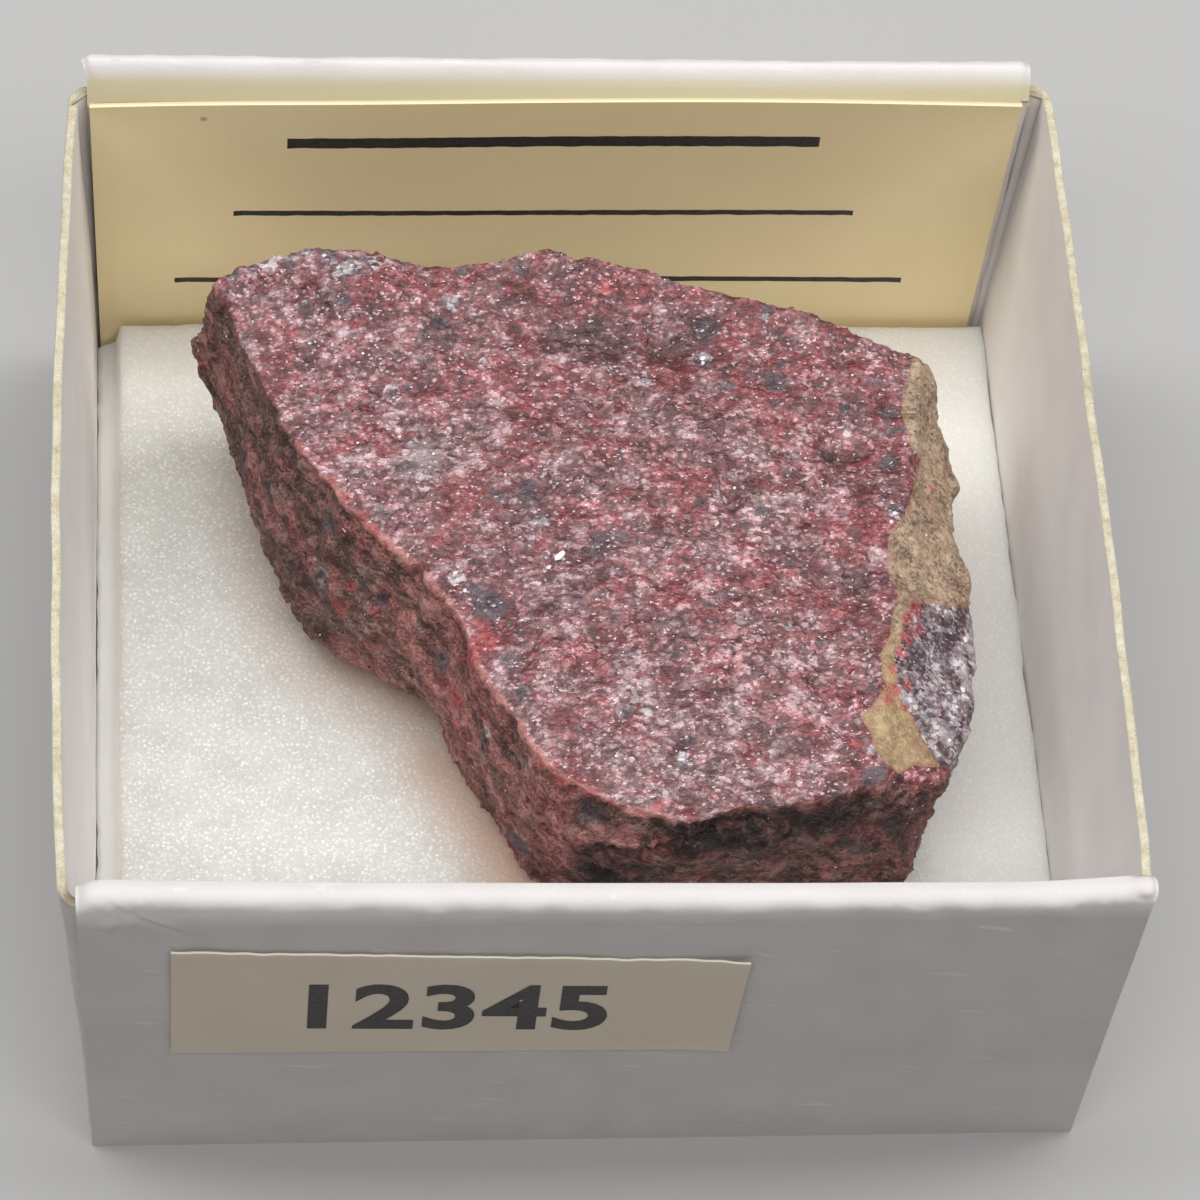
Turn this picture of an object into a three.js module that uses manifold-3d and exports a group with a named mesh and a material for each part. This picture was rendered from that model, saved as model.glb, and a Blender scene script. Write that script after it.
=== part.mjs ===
// A hand specimen of cinnabar on matrix, in its folded card tray.
//
// Millimetres, +Z up, +Y towards the back of the tray. The tray's footprint is
// centred on the origin and its underside is at z = 0.

import * as THREE from 'three';
import { mergeGeometries, mergeVertices } from 'three/addons/utils/BufferGeometryUtils.js';
import Module from 'manifold-3d';

const wasm = await Module();
wasm.setup();

// ---- driving dimensions ----------------------------------------------------

const TRAY = {
  width: 40, // outside, left to right at the floor
  depth: 40, // outside, front to back at the floor
  height: 20.16, // to the crown of the back roll
  board: 0.38, // one thickness of card
  roll: 1.1, // the doubled front and back walls
  frontLean: 0.375, // how far the front wall's top leans out
  backLean: 0.52,
  cornerRadius: 0.95, // the folded corners of the side walls
};

// Height of the front roll's crown: the wall was folded a little out of level.
const FRONT_CROWN = { left: 20.42, middle: 19.72, right: 19.56 };

// Half widths of the front and back panels, at the floor and at the crown.
const FRONT_PANEL = { left: [19.84, 20.28], right: [20.1, 20.2] };
const BACK_PANEL = { left: [19.6, 20.1], right: [19.75, 19.76] };

// The single side walls, at the front, in the middle and at the back: height of
// the raw edge, and how far it bows outwards.
const LEFT_TOP = { front: 18.85, middle: 18.85, back: 18.4 };
const RIGHT_TOP = { front: 18.85, middle: 18.85, back: 18.85 };
const LEFT_BOW = { front: 0.95, middle: 1.32, back: 0.72 };
const RIGHT_BOW = { front: 0.32, middle: 0.74, back: 0.48 };

const FOAM = { left: -18.65, right: 19.35, front: -18.3, back: 18.15, top: 4.5, wander: 0.08 };

// The label card: its ends, each at the floor and at the top, and how it leans.
const LABEL = {
  left: [-19.3, -19.95], right: [19.05, 19.38], y: [18.46, 18.72], top: 18.78, card: 0.22,
};

// Corners of the number sticker on the front wall, as x and height.
const STICKER = {
  topLeft: [-16.75, 16.25],
  topRight: [5.28, 15.1],
  bottomRight: [5.1, 8.1],
  bottomLeft: [-16.72, 8.25],
  paper: 0.14,
};

// The lump is drawn by three outlines, each a closed line of [x, y, z] that runs
// anticlockwise seen from above: the rim of its broken top face, the belt where
// it is widest, and the foot where the sides turn under.
const ROCK_CENTRE = [1.6, -0.4];
const ROCK_RIM = [
  // right edge, front to back
  [11.4, -12.1, 14.8], [11.4, -8.5, 15.0], [12.0, -5.8, 15.1], [12.4, -1.9, 15.2],
  [13.3, 2.0, 15.2], [14.6, 7.0, 15.0], [14.5, 8.6, 15.0],
  // back edge, right to left
  [12.4, 9.2, 15.4], [9.4, 10.6, 15.7], [5.5, 11.6, 15.8], [3.2, 12.4, 15.9],
  [-0.8, 13.3, 16.1], [-4.1, 12.7, 15.7], [-6.9, 12.9, 15.7], [-8.9, 13.3, 16.1],
  [-10.4, 13.1, 16.0], [-12.6, 12.5, 15.5], [-14.8, 11.8, 15.2],
  // left edge, back to front
  [-13.3, 8.3, 15.0], [-11.4, 3.8, 14.9], [-9.4, 0.9, 14.8], [-6.7, -2.0, 14.7],
  [-5.2, -4.4, 14.7], [-4.6, -6.7, 14.7], [-3.7, -8.3, 14.7], [-2.3, -11.0, 14.7],
  // front edge, left to right
  [-0.6, -12.5, 14.6], [3.4, -14.0, 14.5], [5.4, -13.3, 14.7], [9.0, -13.0, 14.7],
];
const ROCK_BELT = [
  [13.0, -12.0, 13.6], [14.5, -10.7, 13.2], [15.3, -8.1, 12.8], [15.9, -5.9, 12.4],
  [16.1, -1.4, 12.2], [15.9, 2.5, 12.4], [15.7, 5.8, 12.6], [15.15, 9.0, 13.9],
  [12.5, 10.1, 10.5], [8.1, 12.6, 10.5], [3.0, 13.6, 10.5], [-1.4, 14.6, 11.0],
  [-4.6, 14.0, 10.5], [-9.4, 14.7, 11.5], [-12.4, 13.9, 12.0], [-15.7, 12.4, 10.6],
  [-14.1, 8.6, 9.6], [-12.5, 3.5, 9.6], [-10.2, 0.2, 9.8], [-7.4, -2.6, 9.8],
  [-5.9, -4.6, 10.0], [-4.9, -6.8, 10.0], [-2.5, -11.2, 10.8], [-0.9, -13.6, 12.3],
  [1.6, -13.9, 12.6], [3.6, -14.3, 13.4], [7.4, -13.2, 12.2], [10.6, -12.7, 12.2],
];
const ROCK_FOOT = [
  [12.2, -12.4, 5.3], [13.4, -11.6, 5.4], [13.9, -9.0, 5.3], [14.3, -4.0, 5.2],
  [14.5, 0.6, 5.0], [14.1, 5.4, 5.4], [13.0, 8.8, 5.8], [9.4, 10.4, 5.0],
  [4.4, 11.9, 5.0], [-1.6, 12.6, 5.0], [-6.8, 12.7, 5.3], [-11.2, 12.8, 6.2],
  [-14.6, 12.0, 8.0], [-13.8, 10.1, 7.0], [-13.3, 7.3, 6.5], [-12.3, 3.2, 6.3],
  [-10.8, 0.3, 6.2], [-7.9, -1.6, 6.2], [-5.8, -2.8, 6.0], [-5.3, -4.8, 5.3],
  [-2.7, -9.5, 4.9], [-1.5, -11.0, 4.9], [2.4, -12.4, 5.0], [9.0, -12.1, 5.2],
];
const ROCK_CELLS = 14; // grid cells from the middle of the top face to its rim
const ROCK_SOLE = 0.62; // share of the foot's reach that lies flat on the foam

// Shallow hollows and swells of the top face: [x, y, radius, depth].
const TOP_RELIEF = [
  [-9.4, 11.4, 2.2, -0.5], [-3.6, -4.2, 1.2, 0.45], [0.6, 1.6, 3.6, -0.3],
  [4.6, 8.9, 2.4, 0.55], [7.2, 8.2, 1.4, 0.4], [11.6, 3.4, 1.6, 0.55],
  [10.5, -2.6, 1.4, 0.45], [5.2, -6.4, 3.2, -0.25], [-8.6, 6.2, 2.6, 0.25],
];

// ---- helpers ---------------------------------------------------------------

const { lerp, smoothstep } = THREE.MathUtils;

/** Value between `front`, `middle` and `back` along a run t = 0..1. */
function along({ front, middle, back }, t) {
  const straight = lerp(front, back, t);
  return straight + (middle - (front + back) / 2) * 4 * t * (1 - t);
}

/** Repeatable value in -1..1 for a lattice point. */
function lattice(i, j, k) {
  let h = (i * 374761393 + j * 668265263 + k * 2147483647) | 0;
  h = Math.imul(h ^ (h >>> 13), 1274126177);
  h ^= h >>> 16;
  return (h & 0xffff) / 32767.5 - 1;
}

/** Smooth noise in -1..1. */
function noise(x, y, z) {
  const cell = [x, y, z].map(Math.floor);
  const [u, v, w] = [x, y, z].map((value, axis) => smoothstep(value - cell[axis], 0, 1));
  const edge = (j, k) => lerp(
    lattice(cell[0], cell[1] + j, cell[2] + k),
    lattice(cell[0] + 1, cell[1] + j, cell[2] + k),
    u,
  );
  return lerp(lerp(edge(0, 0), edge(1, 0), v), lerp(edge(0, 1), edge(1, 1), v), w);
}

/** Two octaves of broken-stone roughness, `size` mm from lump to lump. */
function rough(x, y, z, size) {
  const k = 1 / size;
  return 0.65 * noise(x * k, y * k, z * k) + 0.35 * noise(x * k * 2.3 + 9, y * k * 2.3, z * k * 2.3);
}

/**
 * Broken faces in about -1..1: each chip of about `size` mm is a small plane
 * with its own height and tilt.
 */
function chips(x, y, z, size) {
  const [px, py, pz] = [x / size, y / size, z / size];
  const [ci, cj, ck] = [px, py, pz].map(Math.floor);
  let nearest = Infinity;
  let height = 0;
  for (let n = 0; n < 27; n++) {
    const [i, j, k] = [ci + (n % 3) - 1, cj + (Math.floor(n / 3) % 3) - 1, ck + Math.floor(n / 9) - 1];
    const dx = px - i - 0.5 - 0.4 * lattice(i, j, k);
    const dy = py - j - 0.5 - 0.4 * lattice(i, j, k + 50);
    const dz = pz - k - 0.5 - 0.4 * lattice(i, j, k + 100);
    const distance = dx * dx + dy * dy + dz * dz;
    if (distance < nearest) {
      nearest = distance;
      const tilt = dx * lattice(i + 50, j, k) + dy * lattice(i, j + 50, k) + dz * lattice(i, j, k + 150);
      height = 0.5 * lattice(i + 90, j, k) + tilt;
    }
  }
  return height;
}

/** Indexed geometry from a list of points and a list of triangles. */
function meshOf(points, triangles) {
  const geometry = new THREE.BufferGeometry();
  geometry.setAttribute('position', new THREE.Float32BufferAttribute(points.flat(), 3));
  geometry.setIndex(triangles.flat());
  return geometry;
}

/**
 * A bent board: `outer(s, k)` and `inner(s, k)` give its two faces for the
 * stations s = 0..stations and the levels k = 0..levels, floor to top.
 * Seen from outside, the stations run from left to right.
 */
function bentBoard(stations, levels, outer, inner) {
  const points = [];
  for (const face of [outer, inner]) {
    for (let s = 0; s <= stations; s++) {
      for (let k = 0; k <= levels; k++) points.push(face(s / stations, k));
    }
  }
  const row = levels + 1;
  const far = (stations + 1) * row; // first point of the inner face
  const triangles = [];
  const quad = (a, b, c, d) => triangles.push([a, b, c], [a, c, d]);
  for (let s = 0; s < stations; s++) {
    for (let k = 0; k < levels; k++) {
      const a = s * row + k;
      quad(a, a + row, a + row + 1, a + 1);
      quad(far + a, far + a + 1, far + a + row + 1, far + a + row);
    }
    const low = s * row;
    const high = low + levels;
    quad(low, far + low, far + low + row, low + row);
    quad(high, high + row, far + high + row, far + high);
  }
  const last = stations * row;
  for (let k = 0; k < levels; k++) {
    quad(k, k + 1, far + k + 1, far + k);
    quad(last + k, far + last + k, far + last + k + 1, last + k + 1);
  }
  return meshOf(points, triangles);
}

/** The union of several closed meshes. */
function join(geometries) {
  const solids = geometries.map((geometry) => {
    const bare = geometry.clone();
    bare.deleteAttribute('normal');
    bare.deleteAttribute('uv');
    const merged = mergeVertices(bare, 1e-5);
    return new wasm.Manifold(new wasm.Mesh({
      numProp: 3,
      vertProperties: new Float32Array(merged.attributes.position.array),
      triVerts: new Uint32Array(merged.index.array),
    }));
  });
  const { vertProperties, triVerts } = solids.reduce((sum, solid) => sum.add(solid)).getMesh();
  const geometry = new THREE.BufferGeometry();
  geometry.setAttribute('position', new THREE.BufferAttribute(vertProperties, 3));
  geometry.setIndex(new THREE.BufferAttribute(triVerts, 1));
  return geometry;
}

/** A named mesh with its own material. */
function piece(name, geometry, color, roughness) {
  const material = new THREE.MeshStandardMaterial({ color, roughness, metalness: 0, flatShading: true });
  const mesh = new THREE.Mesh(geometry, material);
  mesh.name = name;
  return mesh;
}

// ---- tray ------------------------------------------------------------------

/**
 * A doubled wall with a rounded crown. `side` is -1 for the front and 1 for the
 * back, `crown(x01)` its height and `panel` its half widths.
 */
function rolledWall(side, lean, crown, panel) {
  const levels = [0, 5, 10, 15, 18.4]; // heights below the roll
  const arc = [0, 25, 45, 65, 82].map(THREE.MathUtils.degToRad);
  const face = (sign) => (t, k) => {
    const top = crown(t);
    const straight = k < levels.length;
    const turn = straight ? 0 : arc[k - levels.length];
    const radius = TRAY.roll / 2;
    const z = straight ? levels[k] : top - radius + radius * Math.sin(turn);
    const rise = z / TRAY.height;
    const left = -lerp(...panel.left, rise);
    const right = lerp(...panel.right, rise);
    const x = side < 0 ? lerp(left, right, t) : lerp(right, left, t);
    const middle = TRAY.depth / 2 - radius + lean * rise;
    return [x, side * (middle + sign * radius * Math.cos(turn)), z];
  };
  return bentBoard(14, levels.length + arc.length - 1, face(1), face(-1));
}

/** A single side wall whose ends fold round into the front and back walls. */
function sideWall(side, top, bow) {
  const r = TRAY.cornerRadius;
  const half = TRAY.depth / 2 - TRAY.board;
  const turns = [90, 60, 30, 0].map(THREE.MathUtils.degToRad);
  // Plan of the outer face, from the front tab to the back tab: distance out
  // from the middle of the tray, distance back, and the outward direction.
  const corner = (end) => turns.map((turn) => ({
    out: TRAY.width / 2 - r + r * Math.cos(turn),
    back: end * (half - r + r * Math.sin(turn)),
    way: [Math.cos(turn), end * Math.sin(turn)],
  }));
  const tab = (end) => ({ out: TRAY.width / 2 - 3, back: end * half, way: [0, end] });
  const straight = [-0.75, -0.5, -0.25, 0, 0.25, 0.5, 0.75].map((share) => (
    { out: TRAY.width / 2, back: share * half, way: [1, 0] }));
  const plan = [tab(-1), ...corner(-1), ...straight, ...corner(1).reverse(), tab(1)];
  if (side < 0) plan.reverse();
  const levels = 4;
  const face = (depth) => (t, k) => {
    const { out, back, way } = plan[Math.round(t * (plan.length - 1))];
    const toBack = (back / half + 1) / 2;
    const z = along(top, toBack) * (k / levels);
    const flare = along(bow, toBack) * (k / levels) ** 1.4;
    const lean = lerp(-TRAY.frontLean, TRAY.backLean, toBack) * (z / TRAY.height);
    const x = out - depth * way[0] + flare * (Math.abs(way[0]) > 0.2 ? 1 : 0.55);
    return [side * x, back - depth * way[1] + lean, z];
  };
  return bentBoard(plan.length - 1, levels, face(0), face(TRAY.board));
}

function buildTray() {
  const floor = new THREE.BoxGeometry(TRAY.width - 0.3, TRAY.depth - 0.3, TRAY.board);
  floor.translate(0, 0, TRAY.board / 2);
  const frontCrown = (t) => {
    const { left, middle, right } = FRONT_CROWN;
    return along({ front: left, middle, back: right }, t);
  };
  return join([
    floor,
    rolledWall(-1, TRAY.frontLean, frontCrown, FRONT_PANEL),
    rolledWall(1, TRAY.backLean, () => TRAY.height, BACK_PANEL),
    sideWall(-1, LEFT_TOP, LEFT_BOW),
    sideWall(1, RIGHT_TOP, RIGHT_BOW),
  ]);
}

// ---- foam pad, label card, sticker -------------------------------------------

/** Hand-cut slab of foam, flat on the tray floor. */
function buildFoam() {
  const { left, right, front, back, top, wander } = FOAM;
  const corners = [[left, front], [right, front], [right, back], [left, back]];
  const outline = [];
  corners.forEach(([x0, y0], side) => {
    const [x1, y1] = corners[(side + 1) % corners.length];
    for (let s = 0; s < 8; s++) {
      const x = lerp(x0, x1, s / 8);
      const y = lerp(y0, y1, s / 8);
      const drift = s === 0 ? 0 : wander * noise(x * 0.4, y * 0.4, 3);
      outline.push(new THREE.Vector2(x - drift * Math.sign(x), y - drift * Math.sign(y)));
    }
  });
  const slab = new THREE.ExtrudeGeometry(new THREE.Shape(outline), {
    depth: top - TRAY.board, bevelEnabled: false,
  });
  return slab.translate(0, 0, TRAY.board);
}

/** The label card stands on the tray floor, leaning back a little. */
function buildLabel() {
  const { left, right, y, top, card } = LABEL;
  const face = (setBack) => (t, k) => [
    lerp(lerp(...left, k / 2), lerp(...right, k / 2), t),
    lerp(...y, k / 2) + setBack,
    lerp(TRAY.board, top, k / 2),
  ];
  return bentBoard(6, 2, face(0), face(card));
}

/** Paper sticker in the sloping plane of the front wall. */
function buildSticker() {
  const { topLeft, topRight, bottomRight, bottomLeft, paper } = STICKER;
  const wall = (z) => -TRAY.depth / 2 - TRAY.frontLean * (z / TRAY.height);
  const face = (proud) => (t, k) => {
    const bottom = [lerp(bottomLeft[0], bottomRight[0], t), lerp(bottomLeft[1], bottomRight[1], t)];
    const upper = [lerp(topLeft[0], topRight[0], t), lerp(topLeft[1], topRight[1], t)];
    const [x, z] = [lerp(bottom[0], upper[0], k / 2), lerp(bottom[1], upper[1], k / 2)];
    return [x, wall(z) - proud, z];
  };
  return bentBoard(8, 2, face(paper), face(0));
}

// ---- the lump ----------------------------------------------------------------

/** Where the ray at `angle` from the lump's centre meets a closed outline. */
function reach(outline, angle) {
  const [cx, cy] = ROCK_CENTRE;
  const [dx, dy] = [Math.cos(angle), Math.sin(angle)];
  for (let i = 0; i < outline.length; i++) {
    const a = outline[i];
    const b = outline[(i + 1) % outline.length];
    const [ex, ey] = [b[0] - a[0], b[1] - a[1]];
    const cross = dx * ey - dy * ex;
    const [fx, fy] = [a[0] - cx, a[1] - cy];
    const distance = (fx * ey - fy * ex) / cross;
    const share = (fx * dy - fy * dx) / cross;
    if (distance > 0 && Math.abs(share - 0.5) < 0.5 + 1e-9) {
      return new THREE.Vector3(cx + dx * distance, cy + dy * distance, lerp(a[2], b[2], share));
    }
  }
  throw new Error('the outline does not close round the centre');
}

/** Hollows, knobs and swells of the top face, as a height to add. */
function topRelief(x, y) {
  let height = 0.16 * rough(x, y, 4, 4.5) + 0.16 * chips(x, y, 9, 1.9);
  for (const [hx, hy, radius, depth] of TOP_RELIEF) {
    height -= depth * Math.exp(-((x - hx) ** 2 + (y - hy) ** 2) / (radius * radius));
  }
  return height;
}

/** The top face at a bearing, `share` of the way from the middle to the rim. */
function topPoint(angle, share) {
  const centre = new THREE.Vector3(...ROCK_CENTRE, 15.25);
  const rim = reach(ROCK_RIM, angle);
  const p = centre.clone().lerp(rim, share);
  p.z = lerp(centre.z, rim.z, share ** 2.2) + topRelief(p.x, p.y) * (1 - 0.6 * share ** 6);
  return p;
}

/** One bearing of the lump's sides, from the rim down to the flat sole. */
function sideColumn(angle) {
  const belt = reach(ROCK_BELT, angle);
  const foot = reach(ROCK_FOOT, angle);
  const rim = topPoint(angle, 1);
  const out = new THREE.Vector3(Math.cos(angle), Math.sin(angle), 0);
  const broken = (from, to, share) => {
    const p = from.clone().lerp(to, share);
    const lumps = 0.3 * rough(p.x, p.y, p.z * 1.5, 2.8) + 0.3 * chips(p.x, p.y, p.z * 1.3, 2.2);
    return p.addScaledVector(out, lumps);
  };
  const points = [
    rim,
    ...[0.35, 0.7, 1].map((share) => broken(rim, belt, share)),
    ...[0.2, 0.4, 0.6, 0.8, 1].map((share) => broken(belt, foot, share)),
  ];
  // The underside turns in to the flat sole that rests on the foam.
  const sole = new THREE.Vector3(...ROCK_CENTRE, FOAM.top);
  sole.lerp(new THREE.Vector3(foot.x, foot.y, FOAM.top), ROCK_SOLE);
  const turn = points.at(-1).clone().lerp(sole, 0.5).setZ(lerp(FOAM.top, foot.z, 0.3));
  return [...points, turn, sole];
}

/** A bearing, moved to the rim's own corner where one is within half a step. */
function onCorner(angle) {
  const [cx, cy] = ROCK_CENTRE;
  const corner = ROCK_RIM
    .map(([x, y]) => (Math.atan2(y - cy, x - cx) + 2 * Math.PI) % (2 * Math.PI))
    .find((bearing) => Math.abs(bearing - angle) < Math.PI / (8 * ROCK_CELLS));
  return corner ?? angle;
}

/** Bearing and share of the way to the rim for a cell corner (i, j) of a square grid. */
function gridPlace(i, j) {
  const ring = Math.max(Math.abs(i), Math.abs(j));
  let steps; // along the ring's sides, anticlockwise from the right
  if (i === ring && j >= 0) steps = j;
  else if (j === ring) steps = 2 * ring - i;
  else if (i === -ring) steps = 4 * ring - j;
  else if (j === -ring) steps = 6 * ring + i;
  else steps = 8 * ring + j;
  const angle = ring === 0 ? 0 : (steps / (8 * ring)) * 2 * Math.PI;
  return [ring === ROCK_CELLS ? onCorner(angle) : angle, ring / ROCK_CELLS];
}

function buildRock() {
  const n = ROCK_CELLS;
  // The top face is a square grid drawn out to the rim, so it has no pole.
  const top = [];
  const topTriangles = [];
  for (let i = -n; i <= n; i++) {
    for (let j = -n; j <= n; j++) top.push(topPoint(...gridPlace(i, j)).toArray());
  }
  const across = 2 * n + 1;
  for (let i = 0; i < 2 * n; i++) {
    for (let j = 0; j < 2 * n; j++) {
      const a = i * across + j;
      const [b, c, d] = [a + across, a + across + 1, a + 1];
      // Each cell is cut along the diagonal that points to the middle.
      if ((i < n) === (j < n)) topTriangles.push([a, b, c], [a, c, d]);
      else topTriangles.push([a, b, d], [b, c, d]);
    }
  }
  // The sides, one column for each grid point on the rim, and the sole.
  const bearings = 8 * n;
  const columns = Array.from({ length: bearings }, (_, i) => (
    sideColumn(onCorner((i / bearings) * 2 * Math.PI))));
  const row = columns[0].length;
  const sides = columns.flat().map((p) => p.toArray());
  const heel = sides.push([...ROCK_CENTRE, FOAM.top]) - 1;
  const sideTriangles = [];
  for (let i = 0; i < bearings; i++) {
    const a = i * row;
    const b = ((i + 1) % bearings) * row;
    for (let k = 0; k + 1 < row; k++) {
      sideTriangles.push([a + k, a + k + 1, b + k + 1], [a + k, b + k + 1, b + k]);
    }
    sideTriangles.push([heel, b + row - 1, a + row - 1]);
  }
  return mergeVertices(mergeGeometries([meshOf(top, topTriangles), meshOf(sides, sideTriangles)]), 1e-4);
}

// ---- assembly ----------------------------------------------------------------

const specimen = new THREE.Group();
specimen.name = 'cinnabar_on_matrix';
specimen.add(
  piece('tray', buildTray(), 0xe6e2e0, 0.6),
  piece('foam_pad', buildFoam(), 0xeae6da, 0.85),
  piece('label_card', buildLabel(), 0xcdbf94, 0.75),
  piece('number_sticker', buildSticker(), 0xd2c9a8, 0.7),
  piece('cinnabar_rock', buildRock(), 0x9a4550, 0.55),
);

// Centre the footprint on the origin: the walls bow out by unlike amounts.
const box = new THREE.Box3().setFromObject(specimen);
const middle = box.getCenter(new THREE.Vector3());
specimen.position.set(-middle.x, -middle.y, -box.min.z);

export default specimen;
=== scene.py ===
"""Cinnabar on matrix: a hand specimen on white foam, in its folded card tray."""

import math

import bpy
import numpy as np
from mathutils import Matrix, Vector, kdtree

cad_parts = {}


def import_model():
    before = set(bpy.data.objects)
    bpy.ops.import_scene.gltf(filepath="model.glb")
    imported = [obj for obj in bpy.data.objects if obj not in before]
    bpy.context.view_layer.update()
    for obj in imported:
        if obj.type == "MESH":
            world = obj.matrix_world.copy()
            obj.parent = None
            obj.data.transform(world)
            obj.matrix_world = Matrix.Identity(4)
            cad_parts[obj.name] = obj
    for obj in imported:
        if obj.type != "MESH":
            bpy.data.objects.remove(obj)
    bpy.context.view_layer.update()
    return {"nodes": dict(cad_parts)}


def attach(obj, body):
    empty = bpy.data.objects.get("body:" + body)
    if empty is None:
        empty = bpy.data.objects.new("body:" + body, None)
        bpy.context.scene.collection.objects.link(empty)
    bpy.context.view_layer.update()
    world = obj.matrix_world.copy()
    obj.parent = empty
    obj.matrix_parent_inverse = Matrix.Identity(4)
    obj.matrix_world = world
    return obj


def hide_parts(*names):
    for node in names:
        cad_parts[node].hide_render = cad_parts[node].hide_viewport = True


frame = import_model()

# ---- The view ----------------------------------------------------------------
# From above and a little to the left, with a long lens well back, so that the
# tray's walls hardly converge. Places are worked out in mm round the middle of
# the tray's floor, and turned into metres in the row's frame last of all.
MM = 0.001
FLOOR_MIDDLE = Vector((0.29, -0.032, 0.0))

heading, dip, roll = (math.radians(angle) for angle in (9.753, 55.499, 7.849))
ahead = Vector((
    math.sin(heading) * math.cos(dip),
    math.cos(heading) * math.cos(dip),
    -math.sin(dip),
))
level = Vector((math.cos(heading), -math.sin(heading), 0))
upright = level.cross(ahead)
across = math.cos(roll) * level + math.sin(roll) * upright
above = math.cos(roll) * upright - math.sin(roll) * level
viewpoint = (Vector((-17.846, -110.2, 172.225)) + FLOOR_MIDDLE) * MM


def put(name, data):
    """A new object of the scene, at its origin."""
    made = bpy.data.objects.new(name, data)
    bpy.context.scene.collection.objects.link(made)
    return made


camera = put("view", bpy.data.cameras.new("view"))
camera.data.sensor_width = 36
camera.data.lens = 143.117
camera.data.clip_start = 5 * MM
camera.matrix_world = Matrix.Translation(viewpoint) @ Matrix((across, above, -ahead)).transposed().to_4x4()
bpy.context.scene.camera = camera
bpy.context.scene.view_settings.view_transform = "Standard"

# ---- The tray ------------------------------------------------------------------
# One sheet of white coated card, cut and folded. The side walls are a single
# thickness with a raw top edge, and their ends turn the corners into the front
# and back walls, which are folded over double and hold them.
TRAY = {"width": 40, "depth": 40, "height": 20.16, "board": 0.38, "corner": 0.95}
FOLDED = 0.55  # half the thickness of the folded walls
SHEET = 0.34  # thickness of the card that they are folded from
ROLL = {-1: 0.63, 1: 0.45}  # radius of the front and back walls' rolled tops
LEAN = {-1: 0.375, 1: 0.52}  # how far the front and back walls lean out
PANEL = {  # half widths at the floor and at the crown: left, right
    -1: ((19.84, 20.28), (20.1, 20.2)),
    1: ((19.73, 19.99), (19.75, 19.74)),
}
CROWN = {-1: (19.9, 19.2, 19.04), 1: (20.1, 20.06, 20.06)}  # left, middle, right
INNER_FOOT = 0.42  # the height at which the folded walls' insides begin
SLOPE = {"drop": 1.2, "reach": 0.97, "bulge": 0.32}  # of the back wall's inside, down to the label
TAB = 3.0  # how far the side walls' ends reach along the front and the back
WORN = 0.045  # how far the corners of the side walls' raw edges are rubbed off
GROOVE = {"from_middle": 19.56, "width": 0.09, "depth": 0.26}  # of the floor's folds
# A darker brown spot where the left wall's raw edge meets the front wall.
BROWN_SPOT = {"place": (-20.5, -19.5, 18.8), "width": 0.42, "strength": 0.8}  # on the left wall's raw edge
# Painted shade where the front wall's fold lies open in its crown: a dark spot.
OPEN_FOLD_SHADE = {"x": 19.85, "z": 19.28, "width": 0.35, "height": 0.09, "strength": 0.6}  # in the front wall's crown
RAW_EDGE = {-1: (18.85, 18.85, 18.4), 1: (18.85, 18.85, 18.85)}  # front, middle, back
BOW = {-1: (0.95, 1.32, 0.72), 1: (0.32, 0.72, 0.74)}  # of the side walls, the same way
# Marks pressed into the front wall: x, z, x, z, width, depth (below 0 is raised).
FRONT_MARKS = [
    (-18.0, 18.6, -16.1, 17.25, 0.13, 0.07), (-17.9, 18.9, -16.0, 17.5, 0.12, -0.05),
    (-19.6, 18.1, -17.9, 18.5, 0.35, -0.09), (-18.9, 17.2, -18.5, 19.0, 0.15, 0.05),
    (-17.0, 18.0, -13.5, 18.3, 0.3, 0.03), (8.0, 18.2, 14.0, 18.5, 0.35, 0.03),
    (18.5, 15.55, 19.0, 15.75, 0.1, 0.06), (-19.06, 19.7, -17.2, 17.9, 0.14, 0.05),
]


def rgb(red, green, blue):
    """A colour given as 0-255 screen values, as the shader wants it."""
    values = [value / 255 for value in (red, green, blue)]
    return (*[v / 12.92 if v < 0.04045 else ((v + 0.055) / 1.055) ** 2.4 for v in values], 1.0)


def named(sockets, key):
    """The socket with this number, identifier or name."""
    return sockets[key] if isinstance(key, int) else next(s for s in sockets if key in (s.identifier, s.name))


class Socket:
    """One node's output. Arithmetic on it adds Math nodes."""

    def __init__(self, finish, output):
        self.finish, self.output = finish, output

    def math(self, operation, first, second=0.0):
        return self.finish.add("ShaderNodeMath", {"operation": operation}, {0: first, 1: second})

    def __add__(self, other):
        return self.math("ADD", self, other)

    def __radd__(self, other):
        return self.math("ADD", other, self)

    def __sub__(self, other):
        return self.math("SUBTRACT", self, other)

    def __rsub__(self, other):
        return self.math("SUBTRACT", other, self)

    def __mul__(self, other):
        return self.math("MULTIPLY", self, other)

    def __rmul__(self, other):
        return self.math("MULTIPLY", other, self)

    def part(self, name):
        """Another output of the same node."""
        return Socket(self.finish, named(self.output.node.outputs, name))


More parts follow.
